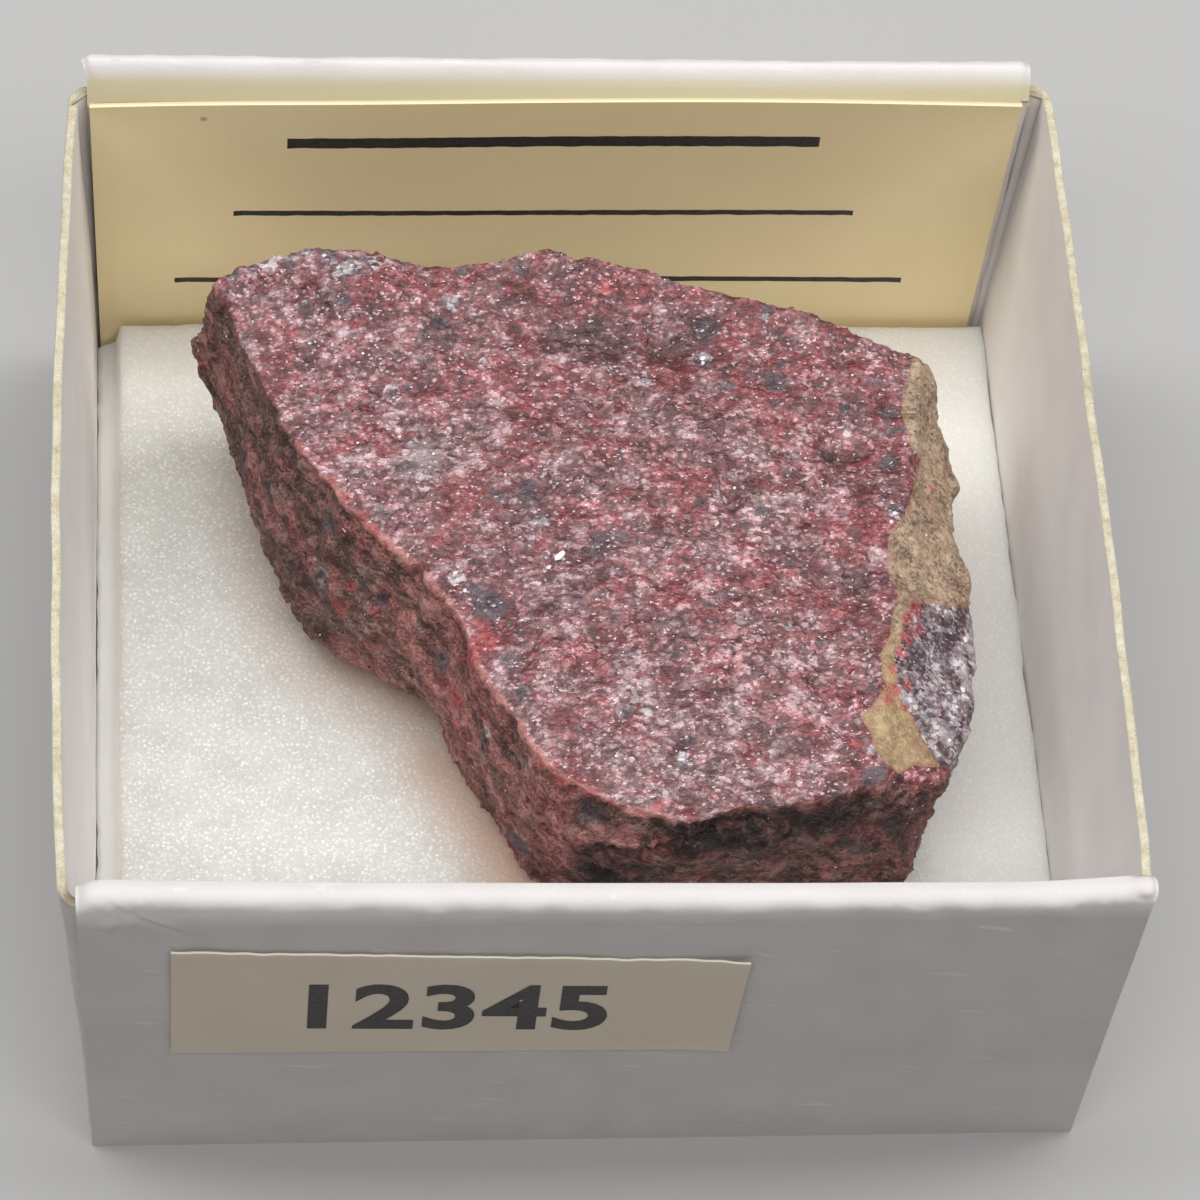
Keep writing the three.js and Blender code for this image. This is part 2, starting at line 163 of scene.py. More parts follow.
class Nodes:
    """The nodes of one finish or of one Geometry Nodes tree: `unit` is how long a mm is in it."""

    def __init__(self, tree, place, unit):
        self.tree, self.unit = tree, unit
        self.place = self.add(place[0], out=place[1])

    def add(self, kind, settings=None, sockets=None, out=0):
        node = self.tree.nodes.new(kind)
        for name, value in (settings or {}).items():
            if name == "stops":
                ramp = node.color_ramp
                while len(ramp.elements) < len(value):
                    ramp.elements.new(0.5)
                for element, (position, colour) in zip(ramp.elements, value):
                    element.position, element.color = position, colour
            else:
                setattr(node, name, value)
        for key, value in (sockets or {}).items():
            socket = named(node.inputs, key)
            for given in value if isinstance(value, list) else [value]:
                if isinstance(given, Socket):
                    self.tree.links.new(given.output, socket)
                else:
                    socket.default_value = given
        return Socket(self, named(node.outputs, out)) if node.outputs else None

    def vector(self, operation, first, second, out="Vector"):
        """A Vector Math node. To SCALE takes a number for its second value."""
        key = "Scale" if operation == "SCALE" else 1
        return self.add("ShaderNodeVectorMath", {"operation": operation}, {0: first, key: second}, out)

    def noise(self, per_mm, detail=2.0, rough=0.5, place=None, out="Fac"):
        """Cloudy variation, with this many swells to the millimetre."""
        return self.add("ShaderNodeTexNoise", None, {
            "Vector": place or self.place, "Scale": per_mm / self.unit, "Detail": detail, "Roughness": rough}, out)

    def cells(self, per_mm, place=None):
        """Grains packed at random, with this many to the millimetre."""
        return self.add("ShaderNodeTexVoronoi", None, {"Vector": place or self.place, "Scale": per_mm / self.unit})


class Finish(Nodes):
    """A procedural material on the object's own coordinates."""

    def __init__(self, name):
        self.material = bpy.data.materials.new(name)
        self.material.use_nodes = True
        self.material.node_tree.nodes.clear()
        super().__init__(self.material.node_tree, ("ShaderNodeTexCoord", "Object"), MM)

    def stretched(self, lengths, turn=(0, 0, 0)):
        """The object's coordinates, turned and drawn out by these lengths."""
        return self.add(
            "ShaderNodeMapping", {"vector_type": "TEXTURE"},
            {"Vector": self.place, "Rotation": turn, "Scale": lengths})

    def between(self, value, low, high):
        """0 below `low`, 1 above `high`, and a smooth climb between them."""
        return self.add(
            "ShaderNodeMapRange", {"interpolation_type": "SMOOTHSTEP"},
            {"Value": value, "From Min": low, "From Max": high})

    def blend(self, share, first, second, how="MIX"):
        return self.add(
            "ShaderNodeMix", {"data_type": "RGBA", "blend_type": how},
            {"Factor_Float": share, "A_Color": first, "B_Color": second}, "Result_Color")

    def ramp(self, value, *stops):
        """Colours along a value. Each stop is its place and its red, green and blue."""
        return self.add("ShaderNodeValToRGB", {"stops": [(at, rgb(*colour)) for at, *colour in stops]}, {"Fac": value})

    def own(self, name):
        """An attribute kept in the piece's own mesh."""
        return self.add("ShaderNodeAttribute", {"attribute_name": name}, None, "Fac")

    def relief(self, height, depth_mm, strength):
        return self.add("ShaderNodeBump", None, {
            "Height": height, "Distance": depth_mm * MM, "Strength": strength})

    def surface(self, **sockets):
        """Closes the finish with its shader: the names are the shader's own."""
        shader = self.add("ShaderNodeBsdfPrincipled", None, {
            name.replace("_", " "): value for name, value in sockets.items()})
        self.add("ShaderNodeOutputMaterial", None, {"Surface": shader})
        return self.material


def card_finish():
    """White clay-coated card, greyed outside with painted shade, with a cream core where it is cut."""
    card = Finish("coated_card")
    clouds = card.noise(0.35, 3)
    fibres = card.noise(9.0, 3, 0.65)
    scuffs = card.noise(1.0, 2, 0.7, card.stretched((4.0, 1.0, 0.45), (0.0, 0.15, 0.1)))
    mottle = clouds * 0.55 + fibres * 0.45
    white = card.ramp(mottle, (0.3, 233, 228, 226), (0.5, 239, 235, 233), (0.75, 244, 241, 239))
    # Painted shade: a grey that stands in for the shade on the tray's outside, in its floor's corners and on the
    # corner strips.
    painted_shade_grey = card.ramp(mottle, (0.3, 172, 166, 165), (0.5, 178, 173, 172), (0.75, 185, 180, 179))
    painted_shade_grey = card.blend(card.between(scuffs, 0.66, 0.72) * 0.35, painted_shade_grey, rgb(214, 210, 208))
    # The outside attribute sets how much of this painted shade each point gets.
    liner = card.blend(card.own("outside"), white, painted_shade_grey)
    # Painted reflection: the label's cream on the back wall's slope above it.
    liner = card.blend(card.own("warm"), liner, rgb(205, 195, 161))
    ply = card.own("ply")
    speckle = card.noise(16.0, 3, 0.7)
    core = card.ramp(
        speckle * 0.6 + card.noise(2.2, 3) * 0.4,
        (0.34, 162, 151, 122), (0.46, 190, 181, 154), (0.56, 206, 199, 178), (0.7, 224, 220, 206))
    cut = card.between(ply, 0.1, 0.2) * (1 - card.between(ply, 0.82, 0.92))
    height = fibres * 0.5 + clouds * 0.3 + cut * speckle * 2.5
    # Painted shade in folds and where a fold lies open, and one brown spot, all in dark brown.
    return card.surface(
        Base_Color=card.blend(card.own("crease"), card.blend(cut, liner, core), rgb(118, 98, 88)),
        Roughness=0.5 + cut * 0.35 + fibres * 0.1,
        Specular_IOR_Level=0.4,
        Normal=card.relief(height, 0.025, 0.7))


def in_place(points):
    """Points in mm round the floor's middle, as metres in the row's frame."""
    return (np.asarray(points, float).reshape(-1, 3) + np.array(FLOOR_MIDDLE)) * MM


def paint(mesh, **painted):
    """Keeps values in a mesh, one for each of its points, for its finish to read."""
    for name, values in painted.items():
        mesh.attributes.new(name, "FLOAT", "POINT").data.foreach_set("value", np.asarray(values, np.float32).ravel())


def piece(name, points, faces, finish, smooth=40, **painted):
    """A mesh object on the root body, smooth over edges of up to `smooth` degrees."""
    mesh = bpy.data.meshes.new(name)
    mesh.from_pydata(in_place(points).tolist(), [], faces)
    paint(mesh, **painted)
    mesh.shade_smooth()
    mesh.set_sharp_from_angle(angle=math.radians(smooth))
    mesh.materials.append(finish)
    made = put(name, mesh)
    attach(made, "root")
    return made


def board(name, outer, inner, finish, **painted):
    """A closed board from two grids of points, its outside and its inside.

    Seen from outside, the grids' rows run left to right and start at the foot.
    """
    rows, columns = outer.shape[:2]
    far = rows * columns
    i = np.arange(rows * columns).reshape(rows, columns)
    a, b, c, d = i[:-1, :-1], i[1:, :-1], i[1:, 1:], i[:-1, 1:]
    faces = [
        np.stack([a, b, c, d], -1),
        np.stack([a, d, c, b], -1) + far,
        np.stack([i[:-1, 0], i[:-1, 0] + far, i[1:, 0] + far, i[1:, 0]], -1),
        np.stack([i[:-1, -1], i[1:, -1], i[1:, -1] + far, i[:-1, -1] + far], -1),
        np.stack([i[0, :-1], i[0, 1:], i[0, 1:] + far, i[0, :-1] + far], -1),
        np.stack([i[-1, :-1], i[-1, :-1] + far, i[-1, 1:] + far, i[-1, 1:]], -1),
    ]
    points = np.concatenate([outer.reshape(-1, 3), inner.reshape(-1, 3)])
    return piece(name, points, np.concatenate([f.reshape(-1, 4) for f in faces]).tolist(), finish, **painted)


def waver(u, v, size, seed):
    """Gentle unevenness in about -1..1, `size` mm from swell to swell."""
    chance = np.random.default_rng(seed)
    total = 0.0
    for _ in range(7):
        way, start, pitch = chance.uniform(0, 2 * math.pi, 2).tolist() + [chance.uniform(0.7, 1.5)]
        total = total + np.sin((u * math.cos(way) + v * math.sin(way)) * 2 * math.pi * pitch / size + start)
    return total / 3.0


def along(ends_and_middle, share):
    """Value along a wall from its two ends and its middle."""
    start, middle, end = ends_and_middle
    return start + (end - start) * share + (middle - (start + end) / 2) * 4 * share * (1 - share)


def past(value, level, run):
    """0 up to a level and 1 from `run` past it, with a straight climb between."""
    return np.clip((value - level) / run, 0, 1)


def before(value, level, run):
    """1 up to `run` before a level and 0 from the level on."""
    return np.clip((level - value) / run, 0, 1)


def fade(distance, width):
    """1 at no distance, fading away softly over about `width`."""
    return np.exp(-((distance / width) ** 2))


def line(x, y, x0, y0, x1, y1):
    """The nearest place on a straight line, as a share of its length, and how far off it lies."""
    run_x, run_y = x1 - x0, y1 - y0
    share = np.clip(((x - x0) * run_x + (y - y0) * run_y) / (run_x**2 + run_y**2), 0, 1)
    return share, x - x0 - share * run_x, y - y0 - share * run_y


def mark(x, z, marks):
    """Depth of the marks pressed into a wall."""
    depth = 0.0
    for *ends, width, deep in marks:
        share, off_x, off_z = line(x, z, *ends)
        depth = depth + deep * fade(np.hypot(off_x, off_z), width) * np.sin(math.pi * (0.12 + 0.76 * share))
    return depth


def askew(share):
    """How far the label card's top edge, cut by hand, falls below its highest point."""
    return 0.44 * (1 - share) ** 6 + 0.12 * np.sin(2 * math.pi * share)


def folded_wall(side):
    """The grids of a wall folded over double: up outside, over and down inside."""
    # The points lie closer together towards the wall's ends and its crown.
    x_share = np.concatenate([
        np.linspace(0, 0.12, 90), np.linspace(0.12, 0.88, 120)[1:], np.linspace(0.88, 1, 60)[1:]])[:, None]
    rise = np.concatenate([np.linspace(0, 0.72, 14), np.linspace(0.72, 1, 40)[1:]])
    turn = np.linspace(0, math.pi, 27)[1:-1]
    ends = np.minimum(x_share, 1 - x_share) * TRAY["width"]
    top = along(CROWN[side], x_share) - 0.2 * fade(ends, 0.25)
    if side < 0:
        top = top - 0.3 * fade(x_share * TRAY["width"], 0.6) + 0.5 * past(x_share, 0.88, 0.12) ** 1.5
    shoulder = top - ROLL[side]
    grids = []
    for depth in (0.0, SHEET):
        # The roll is flush with the outside. The front one bulges a little to the
        # inside; the back one slopes down to the label.
        half, radius = FOLDED - depth, ROLL[side] - depth
        over = FOLDED - ROLL[side] + radius * np.sign(np.cos(turn)) * abs(np.cos(turn)) ** 0.9
        crest = shoulder + radius * np.sin(turn) ** 0.9
        bulge, foot, swell = 2 * (ROLL[side] - FOLDED), shoulder, 0.7
        if side > 0:
            slope, drop = np.clip(-np.cos(turn), 0, 1), SLOPE["drop"] + askew(x_share)
            over = np.where(slope > 0, FOLDED - ROLL[side] - (SLOPE["reach"] - 0.9 * depth) * slope, over)
            crest = np.where(slope > 0, shoulder + radius - (drop - depth) * slope**1.35, crest)
            bulge, foot, swell = SLOPE["bulge"], shoulder + radius - drop + depth, 3.0
        down = INNER_FOOT + (foot - INNER_FOOT) * rise[::-1]
        bulge = bulge * fade(foot - down, swell)
        z = np.concatenate([shoulder * rise, crest, down], axis=1)
        reach = np.concatenate([half + 0 * shoulder * rise, over + 0 * shoulder, -half - bulge], axis=1)
        lift = z / TRAY["height"]
        (left0, left1), (right0, right1) = PANEL[side]
        left, right = -(left0 + (left1 - left0) * lift), right0 + (right1 - right0) * lift
        # The crown runs out over the corner at the back left and at the front right.
        if side > 0:
            left = left - 0.29 * past(z, 19.3, 0.8) ** 1.5
        else:
            right = right + 0.28 * past(z, 18.7, 0.8) ** 1.5
        x = left + (right - left) * x_share
        outward = TRAY["depth"] / 2 - FOLDED + LEAN[side] * lift + reach
        # The card is uneven, and most of all where it was bent over.
        facing = np.clip(reach / half, -0.2, 1)
        near_top = fade(z - shoulder, 0.9) * np.clip(facing, 0, 1)
        outward = outward + np.clip(lift * 1.6, 0, 1) * facing * (
            0.03 * waver(x, z, 9, 3 + side) + 0.01 * waver(x, z, 2.6, 8 + side))
        outward = outward + near_top * (
            0.035 * waver(x, 0.6 * z, 2.4, 12 + side) + 0.012 * waver(x, z, 0.8, 14 + side))
        if side < 0:
            outward = outward - np.clip(facing, 0, 1) * mark(x, z, FRONT_MARKS)
        grids.append(np.stack([x, side * outward, z], -1)[::-side])
    return grids


def side_wall(side):
    """The grids of a single side wall, with the ends that turn the corners."""
    radius, half = TRAY["corner"], TRAY["depth"] / 2 - TRAY["board"]
    quarter = np.linspace(math.pi / 2, 0, 10)
    tab = np.linspace(TAB, radius, 5)[:-1]
    flat = np.linspace(-half + radius, half - radius, 150)[1:-1]
    out = np.concatenate([
        TRAY["width"] / 2 - tab,
        TRAY["width"] / 2 - radius + radius * np.cos(quarter),
        np.full(len(flat), TRAY["width"] / 2),
    ])
    back = np.concatenate([np.full(len(tab), -half), -half + radius - radius * np.sin(quarter), flat])
    way = np.concatenate([np.zeros(len(tab)), np.cos(quarter), np.ones(len(flat))])
    # The back end is the front end again, turned about.
    end = len(tab) + len(quarter)
    out, back, way = (
        np.concatenate([first, sign * first[:end][::-1]])[:, None]
        for first, sign in ((out, 1), (back, -1), (way, 1)))
    turn_in = np.sign(back) * np.sqrt(1 - way**2)
    share = (back / half + 1) / 2
    edge = along(RAW_EDGE[side], share) + 0.035 * waver(back, out, 2.1, 20 + side)
    ply, grids = [], []
    # The last rows turn over the raw edge: past its rubbed corner, and up a hair to its middle.
    levels = np.concatenate([np.linspace(0, 1, 46), [1, 1]])
    inset = np.concatenate([np.zeros(46), [WORN, 0.14]])
    drop = np.concatenate([np.zeros(45), [WORN, 0.0, -0.012]])
    for face in (0, 1):
        depth = inset if face == 0 else TRAY["board"] - inset
        z = edge * levels - drop
        flare = along(BOW[side], share) * (z / edge) ** 1.4
        lean = (-LEAN[-1] + (LEAN[1] + LEAN[-1]) * share) * z / TRAY["height"]
        x = out - depth * way + flare * np.where(way > 0.2, 1, 0.55)
        x = x + 0.03 * waver(back, z, 8, 30 + side) * way * np.clip(z / 6, 0, 1)
        y = back - depth * turn_in + lean
        grids.append(np.stack([side * x, y, z + 0 * x], -1)[::side])
        cut = np.concatenate([np.zeros(44), [0, 0.1, 0.24, 0.4]])
        ply.append(np.broadcast_to(cut if face == 0 else 1 - cut, x.shape))
    return grids, np.concatenate([p.ravel() for p in ply])


def outer_only(values):
    """Values of a board's outer grid, with 0 for its inner one."""
    return np.concatenate([values.ravel(), np.zeros(values.size)])


def outside(x, y, z):
    """How much painted shade a wall's card gets: all of its outside, but less at its crown and its foot, and not its
    inside.
    """
    facing = past(np.maximum(abs(x), abs(y)), 19.0, 0.5)
    crown = 0.62 + 0.38 * before(z, 18.9, 1.0)
    foot = 1 - 0.22 * before(z, 7.0, 7.0)
    back_crown = 1 - 0.4 * before(y, 20.15, 0.2) * (z > 18.7) * (y > 0)
    return outer_only(facing * crown * foot * back_crown)


coated_card = card_finish()
walls = []
for side, name in ((-1, "front_wall"), (1, "back_wall")):
    outer, inner = folded_wall(side)
    x, y, z = np.moveaxis(outer, -1, 0)
    # Painted reflection: the back wall's slope down to the label takes the label's cream. Painted shade: a dark spot
    # in the front wall's crown, where its fold lies open.
    warm = (side > 0) * past(z, 17.5, 1.0) * before(z, 20.05, 0.75) * before(y, 19.95, 0.45)
    open_fold_shade = (side < 0) * OPEN_FOLD_SHADE["strength"] * fade(x - OPEN_FOLD_SHADE["x"], OPEN_FOLD_SHADE["width"]) * fade(z - OPEN_FOLD_SHADE["z"], OPEN_FOLD_SHADE["height"])
    walls.append(board(
        name, outer, inner, coated_card, ply=1 - outer_only(np.ones(x.shape)), outside=outside(x, y, z),
        warm=outer_only(warm), crease=outer_only(open_fold_shade)))
for side, name in ((-1, "left_wall"), (1, "right_wall")):
    (outer, inner), ply = side_wall(side)
    points = np.concatenate([outer.reshape(-1, 3), inner.reshape(-1, 3)])
    brown_spot = BROWN_SPOT["strength"] * fade(np.linalg.norm(points - BROWN_SPOT["place"], axis=1), BROWN_SPOT["width"])
    walls.append(board(
        name, outer, inner, coated_card, ply=ply, outside=outside(*np.moveaxis(outer, -1, 0)), crease=brown_spot))

# The floor, with the grooves of the folds along its edges.
run = np.concatenate([[-19.84, -19.6, -19.52, -19.4], np.linspace(-19.2, 19.2, 60), [19.4, 19.52, 19.6, 19.84]])
floor_x, floor_y = np.meshgrid(run, run, indexing="ij")
groove = fade(np.maximum(abs(floor_x), abs(floor_y)) - GROOVE["from_middle"], GROOVE["width"])
# Painted shade in the floor's four corners, in the grooves.
corners = 0.7 * (groove > 0) * (abs(floor_x) + abs(floor_y) > 39)
under = np.stack([floor_x, floor_y, 0 * floor_x], -1)
floor_z = TRAY["board"] - GROOVE["depth"] * groove + 0.008 * waver(floor_x, floor_y, 7, 5)
upper = np.stack([floor_x, floor_y, floor_z], -1)
walls.append(board(
    "tray_floor", upper, under, coated_card, ply=np.zeros(2 * floor_x.size), outside=np.tile(corners.ravel(), 2)))

# The ends of the side walls' card, folded in at the back corners: x, y, z of the
# corners of each strip, from its top left, the way the hands of a clock go, and
# how much painted shade lies along its left and right edges.
STRIPS = [
    ((19.42, 19.02, 19.0), (19.68, 19.02, 19.0), (19.32, 18.8, 0.5), (19.1, 18.8, 0.5), 0.0, 0.3),
    ((19.72, 19.5, 18.9), (20.3, 19.3, 18.85), (19.62, 18.6, 0.5), (19.34, 18.78, 0.5), 0.25, 0.9),
    ((-20.6, 18.9, 18.55), (-19.9, 19.4, 18.7), (-19.52, 18.8, 0.5), (-19.74, 18.5, 0.5), 0.0, 0.9),
]
STRIP_CARD = 0.18  # the strips' thickness
down = np.concatenate([[0, 0.008], np.linspace(0.03, 1, 28)])[:, None, None]
over = np.linspace(0, 1, 9)[None, :, None]
for number, (*corners, shade_left, shade_right) in enumerate(STRIPS, 1):
    first, second, third, fourth = np.array(corners)
    strip = (first * (1 - over) + second * over) * (1 - down) + (fourth * (1 - over) + third * over) * down
    strip[..., 0] += 0.02 * waver(strip[..., 2], 0 * strip[..., 2], 3, 33 + number)
    strip = strip[::-1].transpose(1, 0, 2)
    # The last row is the cut top edge: bare core, a little darker.
    ply = np.zeros(strip.shape[:2])
    ply[:, -1] = 0.5
    dust = (shade_left * (1 - over[0]) ** 3 + shade_right * over[0] ** 3) * np.linspace(1.0, 0.55, 30)
    dust[:, -1] = 0.4
    # The strips get a little painted shade all over, and darker painted shade along their edges, stronger towards the
    # foot.
    walls.append(board(
        f"corner_strip_{number}", strip, strip + (0, STRIP_CARD, 0), coated_card, ply=np.tile(ply.ravel(), 2),
        outside=np.full(2 * ply.size, 0.1), crease=np.tile(dust.ravel(), 2)))
for wall in walls:
    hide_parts("tray")

# ---- The foam pad ----------------------------------------------------------------
# White closed-cell foam, cut by hand a little smaller than the tray's floor and
# laid in loose. Its skin is a layer of tiny shining cells; the cut sides are
# smooth, and the left one was cut at a slant that leaves a lip at its foot.
FOAM = {"left": -18.62, "right": 19.6, "front": -18.3, "back": 18.15, "top": 4.5}
PARTS = (155, 149)  # points from left to right and from front to back
SHADE_REACH = 3.0  # how far from the lump its painted shade and red reflection reach
# The upright sides and the lipped one, from the top edge down: how far out, how far down.
UPRIGHT = [(0.03, 0.04), (0.07, 0.12), (0.08, 0.5), (0.05, 1.3), (0.04, 2.6), (0.06, 4.11)]
LIP = [(0.05, 0.05), (0.12, 0.25), (0.2, 0.8), (0.3, 1.2), (0.52, 1.42), (0.82, 1.55), (1.05, 1.75), (0.98, 4.11)]


def foam_finish():
    """Clear cells that shine on the skin, duller between them and dull where it is cut."""
    foam = Finish("white_foam")
    bent = foam.vector("ADD", foam.place, foam.vector("SCALE", foam.noise(3.0, 1, out="Color"), 0.12 * MM))
    bead = foam.cells(5.2, bent)
    chance = foam.add("ShaderNodeSeparateColor", None, {0: bead.part("Color")})
    grain = foam.cells(8.5)
    top = 1 - foam.own("cut")
    shine = (1 - foam.between(bead, 0.12, 0.52)) * (0.3 + 0.7 * chance) * top
    glint = (1 - foam.between(grain, 0.1, 0.42)) * foam.between(foam.noise(1.3, 2), 0.34, 0.6) * top
    tint = foam.ramp(
        foam.noise(0.5, 3) * 0.6 + foam.noise(6.0, 2) * 0.4,
        (0.35, 195, 194, 188), (0.5, 203, 202, 196), (0.65, 209, 209, 203))
    # Painted light: a whiter skin where the foam lies in the lump's and the walls' shade.
    tint = foam.blend(foam.own("clean"), tint, rgb(245, 243, 238))
    skin = foam.blend(shine * 0.68 + glint * 0.45, tint, rgb(251, 251, 247))
    skin = foam.blend(foam.own("cut"), skin, rgb(244, 242, 236))
    # Painted shade near the lump's foot, tinted by its red reflection.
    skin = foam.blend(foam.own("dust") * 0.92, skin, rgb(188, 148, 122))
    return foam.surface(
        Base_Color=skin,
        Subsurface_Weight=0.55,
        Subsurface_Radius=(1.0, 0.9, 0.85),
        Subsurface_Scale=2.4 * MM,
        Roughness=0.6 - shine * 0.25,
        Normal=foam.relief((1 - bead) * top + 0.3 * foam.noise(2.0, 2), 0.05, 0.45))


def foam_pad(finish):
    """Top, four cut sides and bottom, closed."""
    share_x, share_y = np.linspace(-1, 1, PARTS[0])[:, None], np.linspace(-1, 1, PARTS[1])[None, :]
    x = np.linspace(FOAM["left"], FOAM["right"], PARTS[0])[:, None] + 0 * share_y
    y = np.linspace(FOAM["front"], FOAM["back"], PARTS[1])[None, :] + 0 * share_x
    # The cut edges stray a little from straight.
    for axis, run, share, size, swell, seed in (
        (x, y, share_x, 0.05, 5, 41), (x, y, -share_x, -0.03, 6, 43),
        (y, x, share_y, 0.05, 6, 45), (y, x, -share_y, -0.05, 6, 44),
    ):
        stray = waver(run, 0 * run, swell, seed) + 0.35 * waver(run, 0 * run, 1.1, seed + 7)
        axis += np.clip(share, 0, 1) ** 12 * size * stray
    z = FOAM["top"] + 0.03 * waver(x, y, 6, 51) - 0.05 * np.maximum(abs(share_x), abs(share_y)) ** 60
    crest = np.stack([x, y, z], -1)
    rows, columns = x.shape
    grid = np.arange(rows * columns).reshape(rows, columns)
    border = np.concatenate([grid[:-1, 0], grid[-1, :-1], grid[:0:-1, -1], grid[0, :0:-1]])
    right = (border // columns == rows - 1) * 1.0
    left = (border // columns == 0) * 1.0
    back = (border % columns == columns - 1) * 1.0 - (border % columns == 0)
    edge = crest.reshape(-1, 3)[border]
    points, cut, rings, total = [crest.reshape(-1, 3)], [np.zeros(rows * columns)], [border], rows * columns
    for step in range(len(LIP)):
        out, down = UPRIGHT[min(step, len(UPRIGHT) - 1)]
        lip_out, lip_down = LIP[step]
        ripple = 0.03 * waver(edge[:, 0] + edge[:, 1], 0 * edge[:, 0] + down, 1.7, 60) * (0 < step < len(LIP) - 1)
        drop = down + (lip_down - down) * left
        ring = edge + np.stack([(out + ripple) * right - (lip_out + ripple) * left, (out + ripple) * back, -drop], -1)
        points.append(ring)
        cut.append(np.full(len(border), min(1.0, 0.35 + 0.65 * step)))
        rings.append(np.arange(total, total + len(border)))
        total += len(border)
    faces = np.stack([grid[:-1, :-1], grid[1:, :-1], grid[1:, 1:], grid[:-1, 1:]], -1).reshape(-1, 4).tolist()
    for upper, lower in zip(rings, rings[1:]):
        faces += np.stack([upper, lower, np.roll(lower, -1), np.roll(upper, -1)], -1).tolist()
    faces.append(rings[-1][::-1].tolist())
    made = piece("foam_slab", np.concatenate(points), faces, finish, smooth=60, cut=np.concatenate(cut))
    # Painted shade round the lump's foot, tinted with its red reflection, and most on the left of it.
    lump_points = frame["nodes"]["cinnabar_rock"].data.vertices
    near = kdtree.KDTree(len(lump_points))
    for number, vertex in enumerate(lump_points):
        near.insert(vertex.co, number)
    near.balance()
    dust = [max(0.0, 1 - near.find(v.co)[2] / (SHADE_REACH * MM)) ** 1.2 for v in made.data.vertices]
    # Painted light: the skin is less grey in the narrow strip at the right and in the back left corner.
    x, y, _ = (np.array([v.co for v in made.data.vertices]) / MM - np.array(FLOOR_MIDDLE)).T
    clean = np.maximum(0.75 * past(x, 12.5, 2.5), 0.65 * (past(y, 12.0, 3.0) * before(x, -2.0, 6.0)))
    paint(made.data, dust=dust * before(x, 6.0, 4.0), clean=np.clip(clean, 0.04, 1))
    return made


foam = foam_pad(foam_finish())
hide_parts("foam_pad")

# ---- The label card ------------------------------------------------------------
# A cream card that stands on the tray's floor behind the foam and leans back a
# little. It is printed with the plain rules of a blank label.
# Its ends and its place at the foot and at the top, its height and its thickness.
LABEL = {"left": (-19.5, -19.87), "right": (19.05, 19.38), "y": (18.46, 18.72), "top": 18.78, "card": 0.22}
SPECK = (-15.13, 18.7, 17.85)  # where a brown speck lies
RULES = [(-11.6, 11.0, 16.3, 0.62), (-13.8, 13.0, 11.7, 0.3), (-16.3, 15.7, 7.2, 0.3)]  # x, x, z, thickness


def label_finish():
    """Smooth cream paper with one brown speck near its top left corner."""
    label = Finish("label_paper")
    fibres = label.noise(11.0, 3, 0.6)
    clouds = label.noise(0.12, 2)
    face = label.ramp(
        fibres * 0.35 + clouds * 0.65,
        (0.35, 242, 223, 175), (0.55, 247, 229, 180), (0.7, 250, 234, 187))
    speck = label.vector("DISTANCE", label.place, tuple((Vector(SPECK) + FLOOR_MIDDLE) * MM), "Value")
    face = label.blend((1 - label.between(speck, 0.08 * MM, 0.2 * MM)) * 0.5, face, rgb(120, 96, 66))
    edge = label.between(label.own("ply"), 0.2, 0.4)
    return label.surface(
        Base_Color=label.blend(edge, face, rgb(203, 190, 158)),
        Roughness=0.62,
        Normal=label.relief(fibres, 0.012, 0.5))


def label_row(height):
    """At a height on the card: its share of the way up, the card's left and right ends, and its y."""
    share = (height - TRAY["board"]) / (LABEL["top"] - TRAY["board"])
    return share, *(LABEL[key][0] + (LABEL[key][1] - LABEL[key][0]) * share for key in ("left", "right", "y"))


def label_point(x_share, height, depth):
    """A point of the card, by its place across, its height in mm and its depth."""
    share, left, right, y = label_row(height)
    x = left + (right - left) * x_share
    y = y + depth + 0.05 * np.sin(math.pi * x_share) * share + 0.015 * waver(x, height + 0 * x, 14, 71)
    z = height + (0.24 - askew(x_share)) * share
    return np.stack(np.broadcast_arrays(x, y, z), -1)


def sheet_ply(inset, thickness, columns):
    """How deep in a sheet its points lie: its outer grid's, then its inner one's."""
    return np.concatenate([np.tile(depth / thickness, columns) for depth in (inset, thickness - inset)])


steps = np.linspace(0, 1, 90)[:, None]
inset = np.concatenate([np.zeros(30), [0.03, 0.08]])
tall = np.concatenate([np.linspace(TRAY["board"], LABEL["top"] - 0.03, 30), [LABEL["top"], LABEL["top"] + 0.008]])
fronts, backs = (label_point(steps, tall[None, :], depth) for depth in (inset, LABEL["card"] - inset))
label = board("label", fronts, backs, label_finish(), ply=sheet_ply(inset, LABEL["card"], len(steps)))
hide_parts("label_card")


def ink_finish(name, shade):
    """Printer's black, a little thin where the paper's fibres show."""
    ink = Finish(name)
    worn = ink.between(ink.noise(7.0, 3, 0.7), 0.35, 0.75)
    return ink.surface(
        Base_Color=ink.blend(worn, rgb(*shade), rgb(*(value + 26 for value in shade))),
        Roughness=0.55)


# The printed rules follow the label's face, a hair proud of it.
label_ink = ink_finish("label_ink", (38, 33, 32))
spans = np.linspace(0, 1, 60)[:, None]
for number, (x0, x1, z, thickness) in enumerate(RULES, 1):
    ragged = 0.025 * waver(spans * (x1 - x0), 0 * spans, 0.9, 80)
    heights = np.concatenate([z - thickness / 2 + ragged, z + thickness / 2 + 0.6 * ragged[::-1]], axis=1)
    _, left, right, _ = label_row(heights)
    x_share = (x0 + (x1 - x0) * spans - left) / (right - left)
    bar = board(
        f"label_rule_{number}", label_point(x_share, heights, -0.012), label_point(x_share, heights, 0.02), label_ink)

